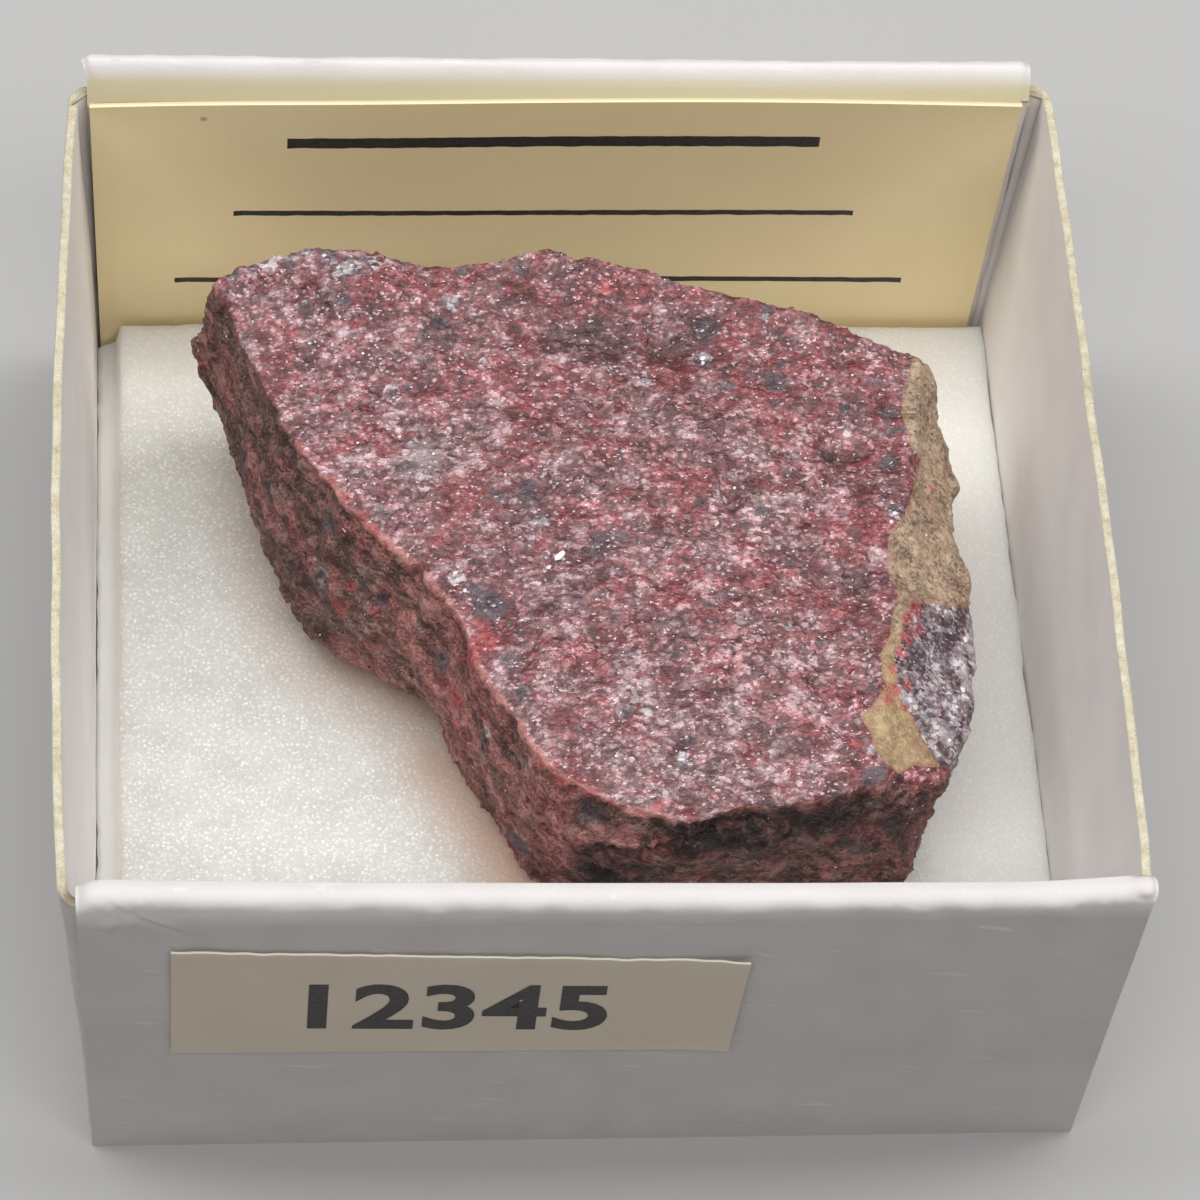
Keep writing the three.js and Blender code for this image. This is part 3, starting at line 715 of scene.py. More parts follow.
# ---- The number sticker ---------------------------------------------------------
# Cream paper, printed with a running number, cut by hand and stuck to the
# outside of the front wall. Its right end has begun to lift.
# Its left and right corners, each as x, z, and its thickness.
STICKER = {"top": ((-16.75, 16.25), (5.28, 15.1)), "bottom": ((-16.72, 8.25), (5.1, 8.1)), "paper": 0.14}


def front_face(z):
    """How far forward the front wall's outside lies at a height."""
    return -TRAY["depth"] / 2 - LEAN[-1] * z / TRAY["height"]


def sticker_finish():
    """Cream paper, greyer than the label's, with a bright cut edge."""
    paper = Finish("sticker_paper")
    fibres = paper.noise(12.0, 3, 0.6)
    face = paper.ramp(
        fibres * 0.5 + paper.noise(0.2, 2) * 0.5,
        (0.35, 184, 172, 155), (0.65, 192, 181, 164))
    edge = paper.between(paper.own("ply"), 0.08, 0.2)
    return paper.surface(
        Base_Color=paper.blend(edge, face, rgb(250, 244, 224)),
        Roughness=0.6,
        Normal=paper.relief(fibres, 0.012, 0.5))


def sticker_point(s, h, proud):
    """A point of the sticker by its shares across and up, `proud` mm off the wall."""
    (tlx, tlz), (trx, trz) = STICKER["top"]
    (blx, blz), (brx, brz) = STICKER["bottom"]
    low_x, low_z = blx + (brx - blx) * s, blz + (brz - blz) * s
    high_x, high_z = tlx + (trx - tlx) * s, tlz + (trz - tlz) * s
    x, z = low_x + (high_x - low_x) * h, low_z + (high_z - low_z) * h
    z = z + 0.04 * waver(x, 0 * z, 1.3, 91) * (h > 0.98)
    lifted = 0.12 * past(s, 0.86, 0.14) ** 2 + 0.05 * before(h, 0.06, 0.06) * s
    return np.stack([x, front_face(z) - proud - lifted - 0.035, z + 0 * x], -1)


h = np.concatenate([np.linspace(0, 0.985, 26), [0.996, 1.0]])[None, :]
inset = np.concatenate([np.zeros(26), [0.02, 0.06]])
fronts, backs = (sticker_point(steps, h, proud) for proud in (STICKER["paper"] - inset, inset))
sticker = board("sticker", fronts, backs, sticker_finish(), ply=sheet_ply(inset, STICKER["paper"], len(steps)))
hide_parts("number_sticker")

# The number: plain figures, set wide and bold. They run a little downhill.
NUMBER = {"left": -11.5, "width": 11.6, "foot": 10.15, "height": 3.6, "slope": 0.035}
figures = bpy.data.curves.new("figures", "FONT")
figures.body = "12345"
figures.extrude = 0.004
figures.offset = 0.028
figures.space_character = 1.06
figures.resolution_u = 5
stencil = put("figures", figures)
bpy.context.view_layer.update()
number_mesh = bpy.data.meshes.new_from_object(stencil.evaluated_get(bpy.context.evaluated_depsgraph_get()))
bpy.data.objects.remove(stencil)
glyphs = np.array([v.co for v in number_mesh.vertices])
low, high = glyphs.min(0), glyphs.max(0)
share = (glyphs - low) / (high - low)
number_x = NUMBER["left"] + NUMBER["width"] * share[:, 0]
number_z = NUMBER["foot"] + NUMBER["height"] * share[:, 1] - NUMBER["slope"] * (number_x - NUMBER["left"])
proud = STICKER["paper"] + 0.045 + 0.012 * share[:, 2]
number_points = np.stack([number_x, front_face(number_z) - proud, number_z], -1)
number_mesh.vertices.foreach_set("co", in_place(number_points).ravel())
number_mesh.update()
number_mesh.materials.clear()
number_mesh.materials.append(ink_finish("number_ink", (34, 30, 30)))
number = put("number", number_mesh)
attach(number, "root")

# ---- The lump of cinnabar ---------------------------------------------------------
# Granular cinnabar grown all through its matrix, broken to a rough slab. The top
# is a fresh break, full of bright grains; the sides are older, browner breaks,
# and a seam of olive matrix runs down the right-hand edge. It rests on the foam.
GRAIN = 0.168  # mm between points of the lump's mesh
MIDDLE = (0.5, 0.5, 0.5)  # of the random colours that patterns give their cells
OLIVE_SEAM = [  # plan of the olive matrix on the right-hand bevel, mm
    (14.2, 8.4), (14.0, 7.5), (13.5, 6.0), (13.5, 5.4), (13.7, 3.9), (14.1, 3.5), (13.5, 1.5), (13.4, 0.8),
    (12.8, 0.0), (12.4, -0.7), (12.2, -2.3), (12.5, -3.0), (12.5, -3.7), (12.2, -4.6), (11.9, -6.0), (11.5, -6.4),
    (11.6, -8.0), (11.2, -8.7), (10.5, -9.3), (10.8, -10.0), (11.0, -10.9), (11.4, -11.6), (11.9, -11.6),
    (12.5, -11.1), (13.7, -10.8), (13.2, -9.8), (12.6, -8.8), (12.1, -8.0), (12.1, -6.7), (12.4, -5.8), (12.8, -4.5),
    (13.1, -3.6), (13.9, -3.2), (14.8, -3.0), (15.5, -2.5), (16.8, -2.0), (16.8, 4.0), (16.4, 9.8),
]
SILVER_PATCH = [(13.9, -3.2), (12.8, -4.4), (12.6, -5.3), (12.0, -6.5), (11.8, -7.7), (12.7, -8.9), (13.2, -9.7),
                (13.5, -10.6), (15.4, -10.8), (16.8, -8.0), (16.8, -2.2), (15.5, -2.6)]
# Spots of other minerals: x, y, z, radius, strength.
SILVER_SPOTS = [
    (-10.8, 12.9, 16.0, 0.5, 0.9), (-12.4, 12.6, 15.8, 0.7, 0.7), (-9.3, 12.2, 16.2, 0.7, 0.8),
    (-5.0, 10.9, 15.6, 0.6, 0.6), (-7.5, 6.6, 15.0, 0.5, 0.7), (5.4, 8.3, 15.1, 0.5, 1.0), (2.8, 7.1, 15.3, 0.6, 0.6),
    (8.1, 10.1, 15.5, 0.3, 0.6), (11.1, 5.0, 14.9, 0.5, 0.55), (12.7, 0.5, 15.2, 0.5, 0.9),
    (-5.2, -2.5, 14.9, 0.4, 0.9), (-4.9, -3.1, 14.9, 0.3, 0.7), (3.3, -11.2, 14.8, 0.4, 0.8),
    (0.7, -11.0, 14.9, 0.2, 0.8), (10.9, -10.8, 14.9, 0.4, 0.6), (-1.8, 0.0, 15.3, 0.6, 0.5),
    (2.1, -9.1, 15.0, 0.4, 0.6), (1.2, -9.0, 15.1, 0.6, 0.5), (-10.4, 0.8, 10.4, 0.7, 0.6),
    (-4.1, -8.1, 12.2, 0.5, 0.6), (7.8, -5.1, 15.2, 0.4, 0.5), (8.3, -8.2, 15.2, 0.4, 0.4),
    (5.8, -7.3, 15.3, 0.4, 0.4), (1.4, -13.6, 13.7, 0.4, 0.5), (8.5, -12.9, 13.0, 0.5, 0.4),
    (-13.2, 12.3, 15.6, 0.7, 0.8), (-11.6, 12.8, 15.8, 0.6, 0.8), (-8.2, 12.7, 16.1, 0.6, 0.7),
]
PALE_SPOTS = [
    (-6.3, 3.4, 15.2, 1.7, 0.6), (-7.2, 2.8, 15.2, 1.1, 0.5), (11.8, -1.6, 15.0, 0.6, 0.6),
    (1.8, -8.1, 15.2, 1.1, 0.4), (0.9, -6.7, 15.1, 0.9, 0.4), (-9.3, 6.2, 15.1, 1.1, 0.3), (-1.5, 1.9, 15.4, 0.5, 0.4),
    (4.3, -5.9, 15.4, 1.0, 0.3), (5.5, -12.1, 14.8, 1.1, 0.35), (2.3, -12.4, 14.7, 0.7, 0.4),
    (15.9, -3.9, 12.4, 0.6, 0.9), (15.5, -6.4, 12.6, 0.6, 0.9), (14.2, -9.2, 13.5, 0.6, 0.8),
    (16.0, -5.0, 12.2, 0.7, 1.0), (15.9, -7.4, 12.3, 0.6, 1.0), (-12.6, 12.5, 15.8, 0.8, 0.6),
]
SLATE_SPOTS = [
    (-5.4, 9.9, 15.6, 0.5, 1.0), (5.6, 9.7, 15.4, 0.7, 1.0), (-4.5, 12.4, 15.7, 0.4, 0.8),
    (-2.0, 12.3, 15.9, 0.5, 0.8), (-2.9, 11.6, 15.8, 0.4, 0.6), (8.3, 10.5, 15.7, 0.4, 0.9),
    (-7.0, 6.8, 15.1, 0.4, 0.7), (8.3, 7.0, 15.3, 0.6, 0.9), (6.4, 6.8, 15.3, 0.4, 0.8), (8.6, 7.7, 15.4, 0.4, 0.6),
    (-3.9, -3.7, 14.7, 0.8, 1.0), (-4.5, -3.1, 14.9, 0.5, 0.7), (11.2, 5.7, 15.1, 0.3, 0.9),
    (13.0, 5.6, 15.0, 0.6, 0.8), (12.8, 3.1, 15.0, 0.5, 1.0), (-9.0, 9.2, 15.5, 0.4, 0.6),
    (-10.5, 8.7, 15.2, 0.4, 0.6), (-11.0, 10.7, 15.5, 0.4, 0.7), (-9.4, 10.7, 15.9, 0.4, 0.7),
    (-13.5, 9.5, 15.1, 0.4, 0.6), (-9.3, 5.3, 15.0, 0.4, 0.6), (-8.4, 2.4, 15.1, 0.4, 0.6),
    (-8.0, 0.8, 14.8, 0.4, 0.6), (-3.5, 1.3, 15.2, 0.5, 0.7), (-1.0, 8.2, 15.6, 0.4, 0.6), (4.8, 0.9, 15.3, 0.4, 0.7),
    (7.2, 0.6, 15.1, 0.4, 0.7), (6.6, -0.1, 15.1, 0.4, 0.7), (8.3, -1.9, 15.1, 0.3, 0.6), (10.4, -0.9, 15.1, 0.3, 0.6),
    (-10.5, 0.5, 10.1, 0.7, 0.9), (-10.1, 1.5, 13.2, 0.8, 0.7), (-8.1, -1.3, 11.4, 0.6, 0.6),
    (-5.8, -4.1, 11.3, 0.8, 0.7), (-2.6, -10.1, 6.8, 0.9, 0.9), (-0.4, -13.0, 13.7, 1.0, 0.7),
    (10.8, -12.5, 10.1, 0.6, 0.7), (11.9, -12.1, 11.3, 0.6, 0.7), (13.1, -12.0, 13.0, 0.6, 0.7),
    (-3.2, -6.4, 14.8, 0.7, 0.7), (-2.9, -8.1, 14.9, 0.5, 0.7), (3.6, -10.3, 14.9, 0.5, 0.7),
    (1.2, -9.3, 15.1, 0.2, 0.8), (-2.1, 1.4, 15.4, 0.9, 0.6), (0.6, -1.2, 15.2, 0.8, 0.6), (1.4, -0.8, 15.4, 0.5, 0.6),
    (12.5, 6.9, 15.2, 0.7, 0.6), (13.1, 4.7, 15.0, 0.6, 0.6), (3.5, -6.5, 15.4, 0.5, 0.5),
    (-0.4, -3.8, 15.1, 0.6, 0.5), (6.6, 4.0, 15.3, 0.4, 0.5), (9.2, -5.7, 15.1, 0.5, 0.5),
    (11.0, -8.1, 15.1, 0.5, 0.6), (10.8, -12.0, 14.8, 0.7, 0.7), (7.2, -10.6, 15.0, 0.4, 0.5),
    (-4.3, 7.9, 15.5, 0.4, 0.5), (13.9, -4.6, 13.9, 0.8, 0.9), (13.2, -6.0, 14.3, 0.7, 0.8),
    (13.4, -8.5, 14.0, 0.5, 0.7), (14.8, -5.2, 13.3, 0.5, 0.8), (-10.0, 12.8, 16.0, 0.6, 0.8),
    (-7.0, 12.8, 16.0, 0.6, 0.7), (-14.0, 11.9, 15.2, 0.5, 0.7), (3.3, 9.6, 15.3, 0.4, 0.5),
    (-6.3, 8.0, 15.4, 0.4, 0.5), (2.0, -4.0, 15.4, 0.4, 0.5), (5.3, -3.5, 15.3, 0.4, 0.5),
]
EMBER_SPOTS = [
    (-4.2, -5.4, 14.7, 0.75, 1.0), (-4.8, -6.0, 14.4, 0.7, 1.0), (-4.3, -4.5, 14.6, 0.5, 0.9),
    (-12.8, 11.3, 15.3, 0.3, 0.7), (-4.2, 12.0, 15.7, 0.4, 0.8), (1.5, 11.5, 15.7, 0.4, 0.8),
    (6.0, 10.3, 15.5, 0.2, 0.6), (10.1, -10.4, 14.9, 0.4, 0.8), (11.7, -8.5, 14.9, 0.4, 0.8),
    (6.1, -8.6, 15.2, 0.2, 0.7), (5.0, -12.3, 14.7, 0.2, 0.6), (5.8, -6.6, 15.4, 0.2, 0.6),
    (-1.5, 1.9, 15.4, 0.3, 0.6), (0.0, -3.8, 15.2, 0.4, 0.5), (-1.1, -3.4, 15.1, 0.4, 0.5),
    (7.1, -4.9, 15.3, 0.3, 0.6), (7.0, -6.6, 15.4, 0.25, 0.5), (-10.2, 2.4, 14.8, 0.35, 0.7),
    (-9.6, 1.4, 14.8, 0.4, 0.7), (-8.9, 0.6, 14.8, 0.4, 0.9), (-8.5, 0.0, 14.7, 0.4, 0.8),
    (-8.0, -0.7, 14.4, 0.3, 0.7), (-9.4, -0.2, 11.0, 0.35, 0.9), (-9.7, -0.3, 9.7, 0.6, 0.9),
    (-8.4, -1.3, 10.7, 0.4, 0.6), (-10.0, -0.2, 6.9, 0.4, 0.6), (-5.2, -5.5, 10.5, 0.7, 1.0),
    (-5.0, -5.8, 11.7, 0.4, 0.8), (-5.5, -5.1, 9.5, 0.4, 0.8), (-5.1, -5.7, 8.9, 0.4, 0.7),
    (-5.6, -4.2, 7.6, 0.3, 0.8), (-2.9, -9.8, 13.5, 0.4, 0.6), (-3.3, -9.6, 12.0, 0.4, 0.6),
    (14.8, 2.7, 13.6, 0.3, 1.0), (14.6, 2.0, 13.8, 0.25, 0.8), (14.0, -1.1, 14.0, 0.2, 0.6),
    (12.9, -4.4, 14.6, 0.4, 1.0), (12.7, -5.5, 14.7, 0.4, 1.0), (12.0, -7.0, 14.9, 0.3, 1.0),
    (11.9, -7.9, 14.8, 0.35, 1.0), (13.3, -3.8, 14.4, 0.45, 1.0), (13.5, -4.6, 14.2, 0.4, 0.9),
    (12.6, -7.4, 14.5, 0.4, 0.9), (15.4, 1.6, 12.9, 0.3, 0.5), (2.2, -13.1, 14.6, 0.4, 0.8),
    (3.5, -13.5, 14.6, 0.4, 0.9), (-1.5, -11.8, 14.4, 0.3, 0.8), (-0.4, -12.5, 14.6, 0.3, 0.8),
    (0.4, -13.0, 14.4, 0.3, 0.8), (-2.3, -11.1, 14.4, 0.3, 0.7), (13.9, 8.4, 15.1, 0.4, 0.6),
    (13.9, 3.4, 14.7, 0.3, 0.9), (12.2, -12.3, 10.0, 0.35, 0.7), (10.8, -12.3, 11.7, 0.3, 0.6),
    (13.0, -5.0, 14.5, 0.4, 0.9), (12.4, -6.2, 14.7, 0.35, 0.9), (12.4, -8.6, 14.5, 0.35, 0.8),
    (13.1, -12.0, 11.3, 0.3, 0.7), (8.2, -13.0, 13.0, 0.4, 0.6), (2.2, -14.1, 13.0, 0.35, 0.7),
    (11.7, -3.8, 15.1, 0.5, 0.4),
]
# Pits and hollows: x, y, z, radius, depth (below 0 stands proud).
HOLLOWS = [
    (-0.5, 9.4, 15.6, 1.2, 0.3), (1.5, 8.8, 15.6, 1.1, 0.3), (4.5, 8.9, 15.2, 1.2, 0.3), (5.6, 9.7, 15.4, 0.6, 0.28),
    (-3.9, -3.5, 14.7, 0.7, 0.2), (-2.9, -6.4, 14.8, 0.6, 0.12), (12.8, 3.1, 15.0, 0.4, 0.25),
    (13.0, 5.6, 15.0, 0.4, 0.15), (10.6, 3.7, 14.9, 0.5, 0.22), (11.2, 3.7, 14.8, 0.4, 0.22),
    (11.0, -2.7, 14.9, 0.6, 0.2), (8.3, 10.5, 15.6, 0.4, 0.15), (8.3, 7.0, 15.4, 0.5, 0.15),
    (-12.8, 11.1, 15.3, 0.5, 0.12), (-2.1, 1.4, 15.4, 1.0, 0.14), (0.6, -1.2, 15.2, 0.8, 0.12),
    (-10.1, 0.8, 11.4, 0.7, -0.15), (-0.4, -13.0, 13.6, 0.9, 0.3), (10.3, -12.7, 14.2, 0.7, 0.2),
    (6.3, 2.1, 15.1, 0.6, 0.1), (-5.4, 9.9, 15.6, 0.5, 0.15), (3.6, -10.3, 14.9, 0.5, 0.1),
    (1.2, -9.4, 15.0, 0.4, 0.1), (3.5, -14.3, 14.3, 0.9, 0.4), (13.9, -11.4, 9.9, 1.5, 0.85),
]
# Creases broken into the top face: x, y, x, y, width, depth.
CREASES = [
    (10.1, 3.6, 11.7, 3.8, 0.25, 0.2), (10.5, -2.6, 11.4, -3.0, 0.21, 0.18), (-0.5, 9.4, 1.6, 8.8, 0.38, 0.2),
    (1.6, 8.8, 4.9, 8.8, 0.38, 0.22), (7.3, -3.4, 6.9, -7.8, 0.17, 0.07), (-1.1, -3.4, 0.8, -4.1, 0.17, 0.1),
    (2.5, -6.3, 3.8, -6.6, 0.17, 0.1), (-5.3, -3.5, -3.6, -4.3, 0.21, 0.12), (10.6, -8.1, 11.4, -7.2, 0.17, 0.12),
    (-6.5, 4.2, -4.4, 4.6, 0.21, 0.08), (-3.1, 2.5, -1.5, 0.9, 0.25, 0.1), (4.8, 1.0, 7.4, 0.5, 0.17, 0.1),
    (-0.2, -1.6, 1.6, -0.6, 0.25, 0.12),
]
# The corner at the back left stands a little higher: x, y, radius, lift.
RAISED = [(-14.0, 11.9, 1.4, 0.5), (-12.2, 12.5, 1.3, 0.5), (-10.8, 12.9, 1.0, 0.25)]
# The edge of the broken ledge on the front: x, y, z.
LEDGE = [(-1.2, -13.2, 11.5), (-0.8, -13.5, 11.8), (1.4, -13.8, 12.7), (3.5, -14.1, 13.8), (4.9, -14.0, 14.2)]
# Bright flecks of crystal: x, y, z, length, width, heading in degrees.
FLECKS = [
    (-1.1, -1.7, 15.2, 0.62, 0.26, 50), (-1.6, -2.1, 15.1, 0.3, 0.14, 50), (-8.7, 8.5, 15.2, 0.14, 0.12, 0),
    (-10.8, 9.0, 15.2, 0.16, 0.12, 30), (-10.5, 10.0, 15.5, 0.14, 0.12, 60), (-9.7, 10.1, 15.6, 0.14, 0.1, 0),
    (-7.2, 4.4, 15.0, 0.13, 0.11, 0), (-9.0, 4.1, 15.0, 0.15, 0.12, 30), (-6.0, 3.5, 15.1, 0.14, 0.1, 0),
    (6.3, 1.7, 15.1, 0.16, 0.12, 40), (12.7, 0.5, 15.2, 0.22, 0.16, 20), (12.5, 0.0, 15.2, 0.2, 0.14, 70),
    (-5.3, -2.3, 14.9, 0.22, 0.14, 40), (-5.0, -3.1, 14.9, 0.2, 0.14, 100), (3.3, -11.2, 14.8, 0.26, 0.12, 0),
    (0.7, -11.0, 14.9, 0.14, 0.1, 0), (5.3, 8.4, 15.1, 0.28, 0.18, 30), (5.5, 8.1, 15.1, 0.2, 0.14, 80),
    (-10.8, 12.9, 16.0, 0.34, 0.2, 170), (-10.2, 12.8, 16.1, 0.2, 0.12, 10), (0.3, -3.8, 15.2, 0.14, 0.12, 0),
    (-3.0, 2.3, 15.3, 0.16, 0.1, 80), (15.5, -4.2, 12.8, 0.3, 0.2, 80), (15.0, -6.8, 13.0, 0.3, 0.22, 100),
    (14.2, -9.4, 13.4, 0.25, 0.16, 30), (-9.7, 0.9, 13.5, 0.55, 0.07, 120), (2.5, -8.8, 15.1, 0.14, 0.12, 0),
    (9.3, 3.3, 15.2, 0.12, 0.1, 0), (11.6, 7.3, 15.3, 0.14, 0.1, 30), (-2.2, 8.7, 15.4, 0.12, 0.1, 0),
]


def inside(x, y, outline):
    """1 inside a plan outline, falling to 0 over about 0.3 mm at its line."""
    within = np.zeros(x.shape, bool)
    distance = np.full(x.shape, 1e9)
    for (x0, y0), (x1, y1) in zip(outline, outline[1:] + outline[:1]):
        within ^= ((y0 > y) != (y1 > y)) & (x < (x1 - x0) * (y - y0) / ((y1 - y0) or 1e-9) + x0)
        distance = np.minimum(distance, np.hypot(*line(x, y, x0, y0, x1, y1)[1:]))
    return np.clip(0.5 + np.where(within, distance, -distance) / 0.3, 0, 1)


def spots(points, where):
    """Soft round spots, the strongest one winning."""
    value = np.zeros(len(points))
    for x, y, z, radius, strength in where:
        away = np.linalg.norm(points - (x, y, z), axis=1) / radius
        value = np.maximum(value, strength * np.clip(1.35 - away, 0, 1))
    return value


def spread(values, edges, rounds):
    """Evens values out over a mesh's neighbouring points."""
    count = np.bincount(edges.ravel(), minlength=len(values))
    for _ in range(rounds):
        near = np.bincount(edges[:, 0], values[edges[:, 1]], len(values))
        near += np.bincount(edges[:, 1], values[edges[:, 0]], len(values))
        values = (values + near / count) / 2
    return values


def remeshed(source, spacing):
    """The CAD solid's mesh, merged and laid over with an even net of points, in mm."""
    mesh = source.data.copy()
    mesh.transform(Matrix.Scale(1 / MM, 4))
    mesh.transform(Matrix.Translation(-FLOOR_MIDDLE))
    net_object = put("lump_net", mesh)
    weld = net_object.modifiers.new("weld", "WELD")
    weld.merge_threshold = 0.001
    net = net_object.modifiers.new("net", "REMESH")
    net.mode = "VOXEL"
    net.voxel_size = spacing
    even = net_object.modifiers.new("even", "SMOOTH")
    even.iterations = 4
    made = bpy.data.meshes.new_from_object(net_object.evaluated_get(bpy.context.evaluated_depsgraph_get()))
    bpy.data.objects.remove(net_object)
    return made


def shape_by_hand(mesh):
    """Hollows, creases, the ledge and the painted areas, from the lists above."""
    count = len(mesh.vertices)
    points, normals, edges = np.zeros(count * 3), np.zeros(count * 3), np.zeros(len(mesh.edges) * 2, int)
    mesh.vertices.foreach_get("co", points)
    mesh.vertex_normals.foreach_get("vector", normals)
    mesh.edges.foreach_get("vertices", edges)
    points, normals, edges = points.reshape(-1, 3), normals.reshape(-1, 3), edges.reshape(-1, 2)
    x, y, z = points.T
    # The sides are where the surface tips over. `broad` climbs slowly from the top to them.
    side = spread(before(normals[:, 2], 0.82, 0.4), edges, 2)
    broad = spread(side, edges, 9)
    # Hollows and creases get painted shade, darker the deeper they are. Creases wander and stay on the top.
    carve = np.zeros(count)
    for *middle, radius, depth in HOLLOWS:
        carve += depth * fade(np.linalg.norm(points - middle, axis=1), radius)
    for *ends, width, depth in CREASES:
        share, off_x, off_y = line(x, y, *ends)
        carve += depth * fade(np.hypot(off_x, off_y + 0.1 * np.sin(share * 9 + ends[0])), width) * (1 - side)
    dark = np.clip(carve / 0.3, 0, 1)
    # The ledge stands out along its edge, and is hollow below it, with painted shade there.
    for start, end in zip(np.array(LEDGE), np.array(LEDGE)[1:]):
        share = np.clip((points - start) @ (end - start) / ((end - start) @ (end - start)), 0, 1)
        off = points - start - share[:, None] * (end - start)
        away = np.linalg.norm(off, axis=1)
        carve += (0.3 * fade(off[:, 2] + 0.7, 0.5) - 0.14 * fade(away, 0.25)) * (away < 1.6)
        dark = np.maximum(dark, 0.9 * fade(off[:, 2] + 0.45, 0.3) * (away < 0.9))
    shaped = points - normals * carve[:, None]
    for rx, ry, radius, lift in RAISED:
        near = fade(np.hypot(x - rx, y - ry), radius) * past(z, 11.5, 3.0)
        shaped += near[:, None] * np.array([0.0, 0.3, 1.0]) * lift
    mesh.vertices.foreach_set("co", shaped.ravel())
    # Large parts of the lump, that the painted areas are cut from.
    high = past(z, 10.5, 1.5)
    front_left = before(x, 5.0, 2.0) * before(y, 6.0, 3.0)
    back_right = np.maximum(past(y + 0.25 * x, 6.5, 4.0) * past(x, -10.0, 4.0), past(x, 8.5, 3.0))
    # Painted shade for faces that hang back out of the light: under the front edge and under the ledge.
    front = before(z, 14.5, 0.4) * past(x, 1.5, 1.5) * np.maximum(past(z, 9.0, 4.0), 0.3)
    front = front * np.maximum(before(x, 13.0, 4.0), 0.8)
    under_ledge = before(z, 12.4, 0.5) * past(x, -1.2, 0.8) * before(x, 3.5, 2.0)
    paint(
        mesh, side=side, carved=dark,
        rim=np.clip(4.4 * broad * (1 - broad), 0, 1) * past(z, 11.0, 2.0) * (0.35 + 0.65 * front_left),
        olive=inside(x, y, OLIVE_SEAM) * high,
        silver=np.maximum(inside(x, y, SILVER_PATCH) * high, spots(points, SILVER_SPOTS)),
        pale=spots(points, PALE_SPOTS), slate=spots(points, SLATE_SPOTS), ember=spots(points, EMBER_SPOTS),
        # Painted shade: foot darkens the lump low down, near the foam.
        foot=before(z, 8.0, 3.0), mustard=before(y, -4.5, 2.0),
        deep=back_right - 0.5 * before(y, -6.0, 3.0) * before(x, 10.0, 2.0),
        # Painted shade under the front edge and the ledge, and a weaker share on the left side.
        sunk=side * np.maximum(0.3 * before(x, -8.5, 2.0), before(y, -11.4, 0.6) * np.maximum(front, under_ledge)),
        rusty=side * before(y, -2.0, 3.0) * before(x, 2.0, 2.0))
    return mesh


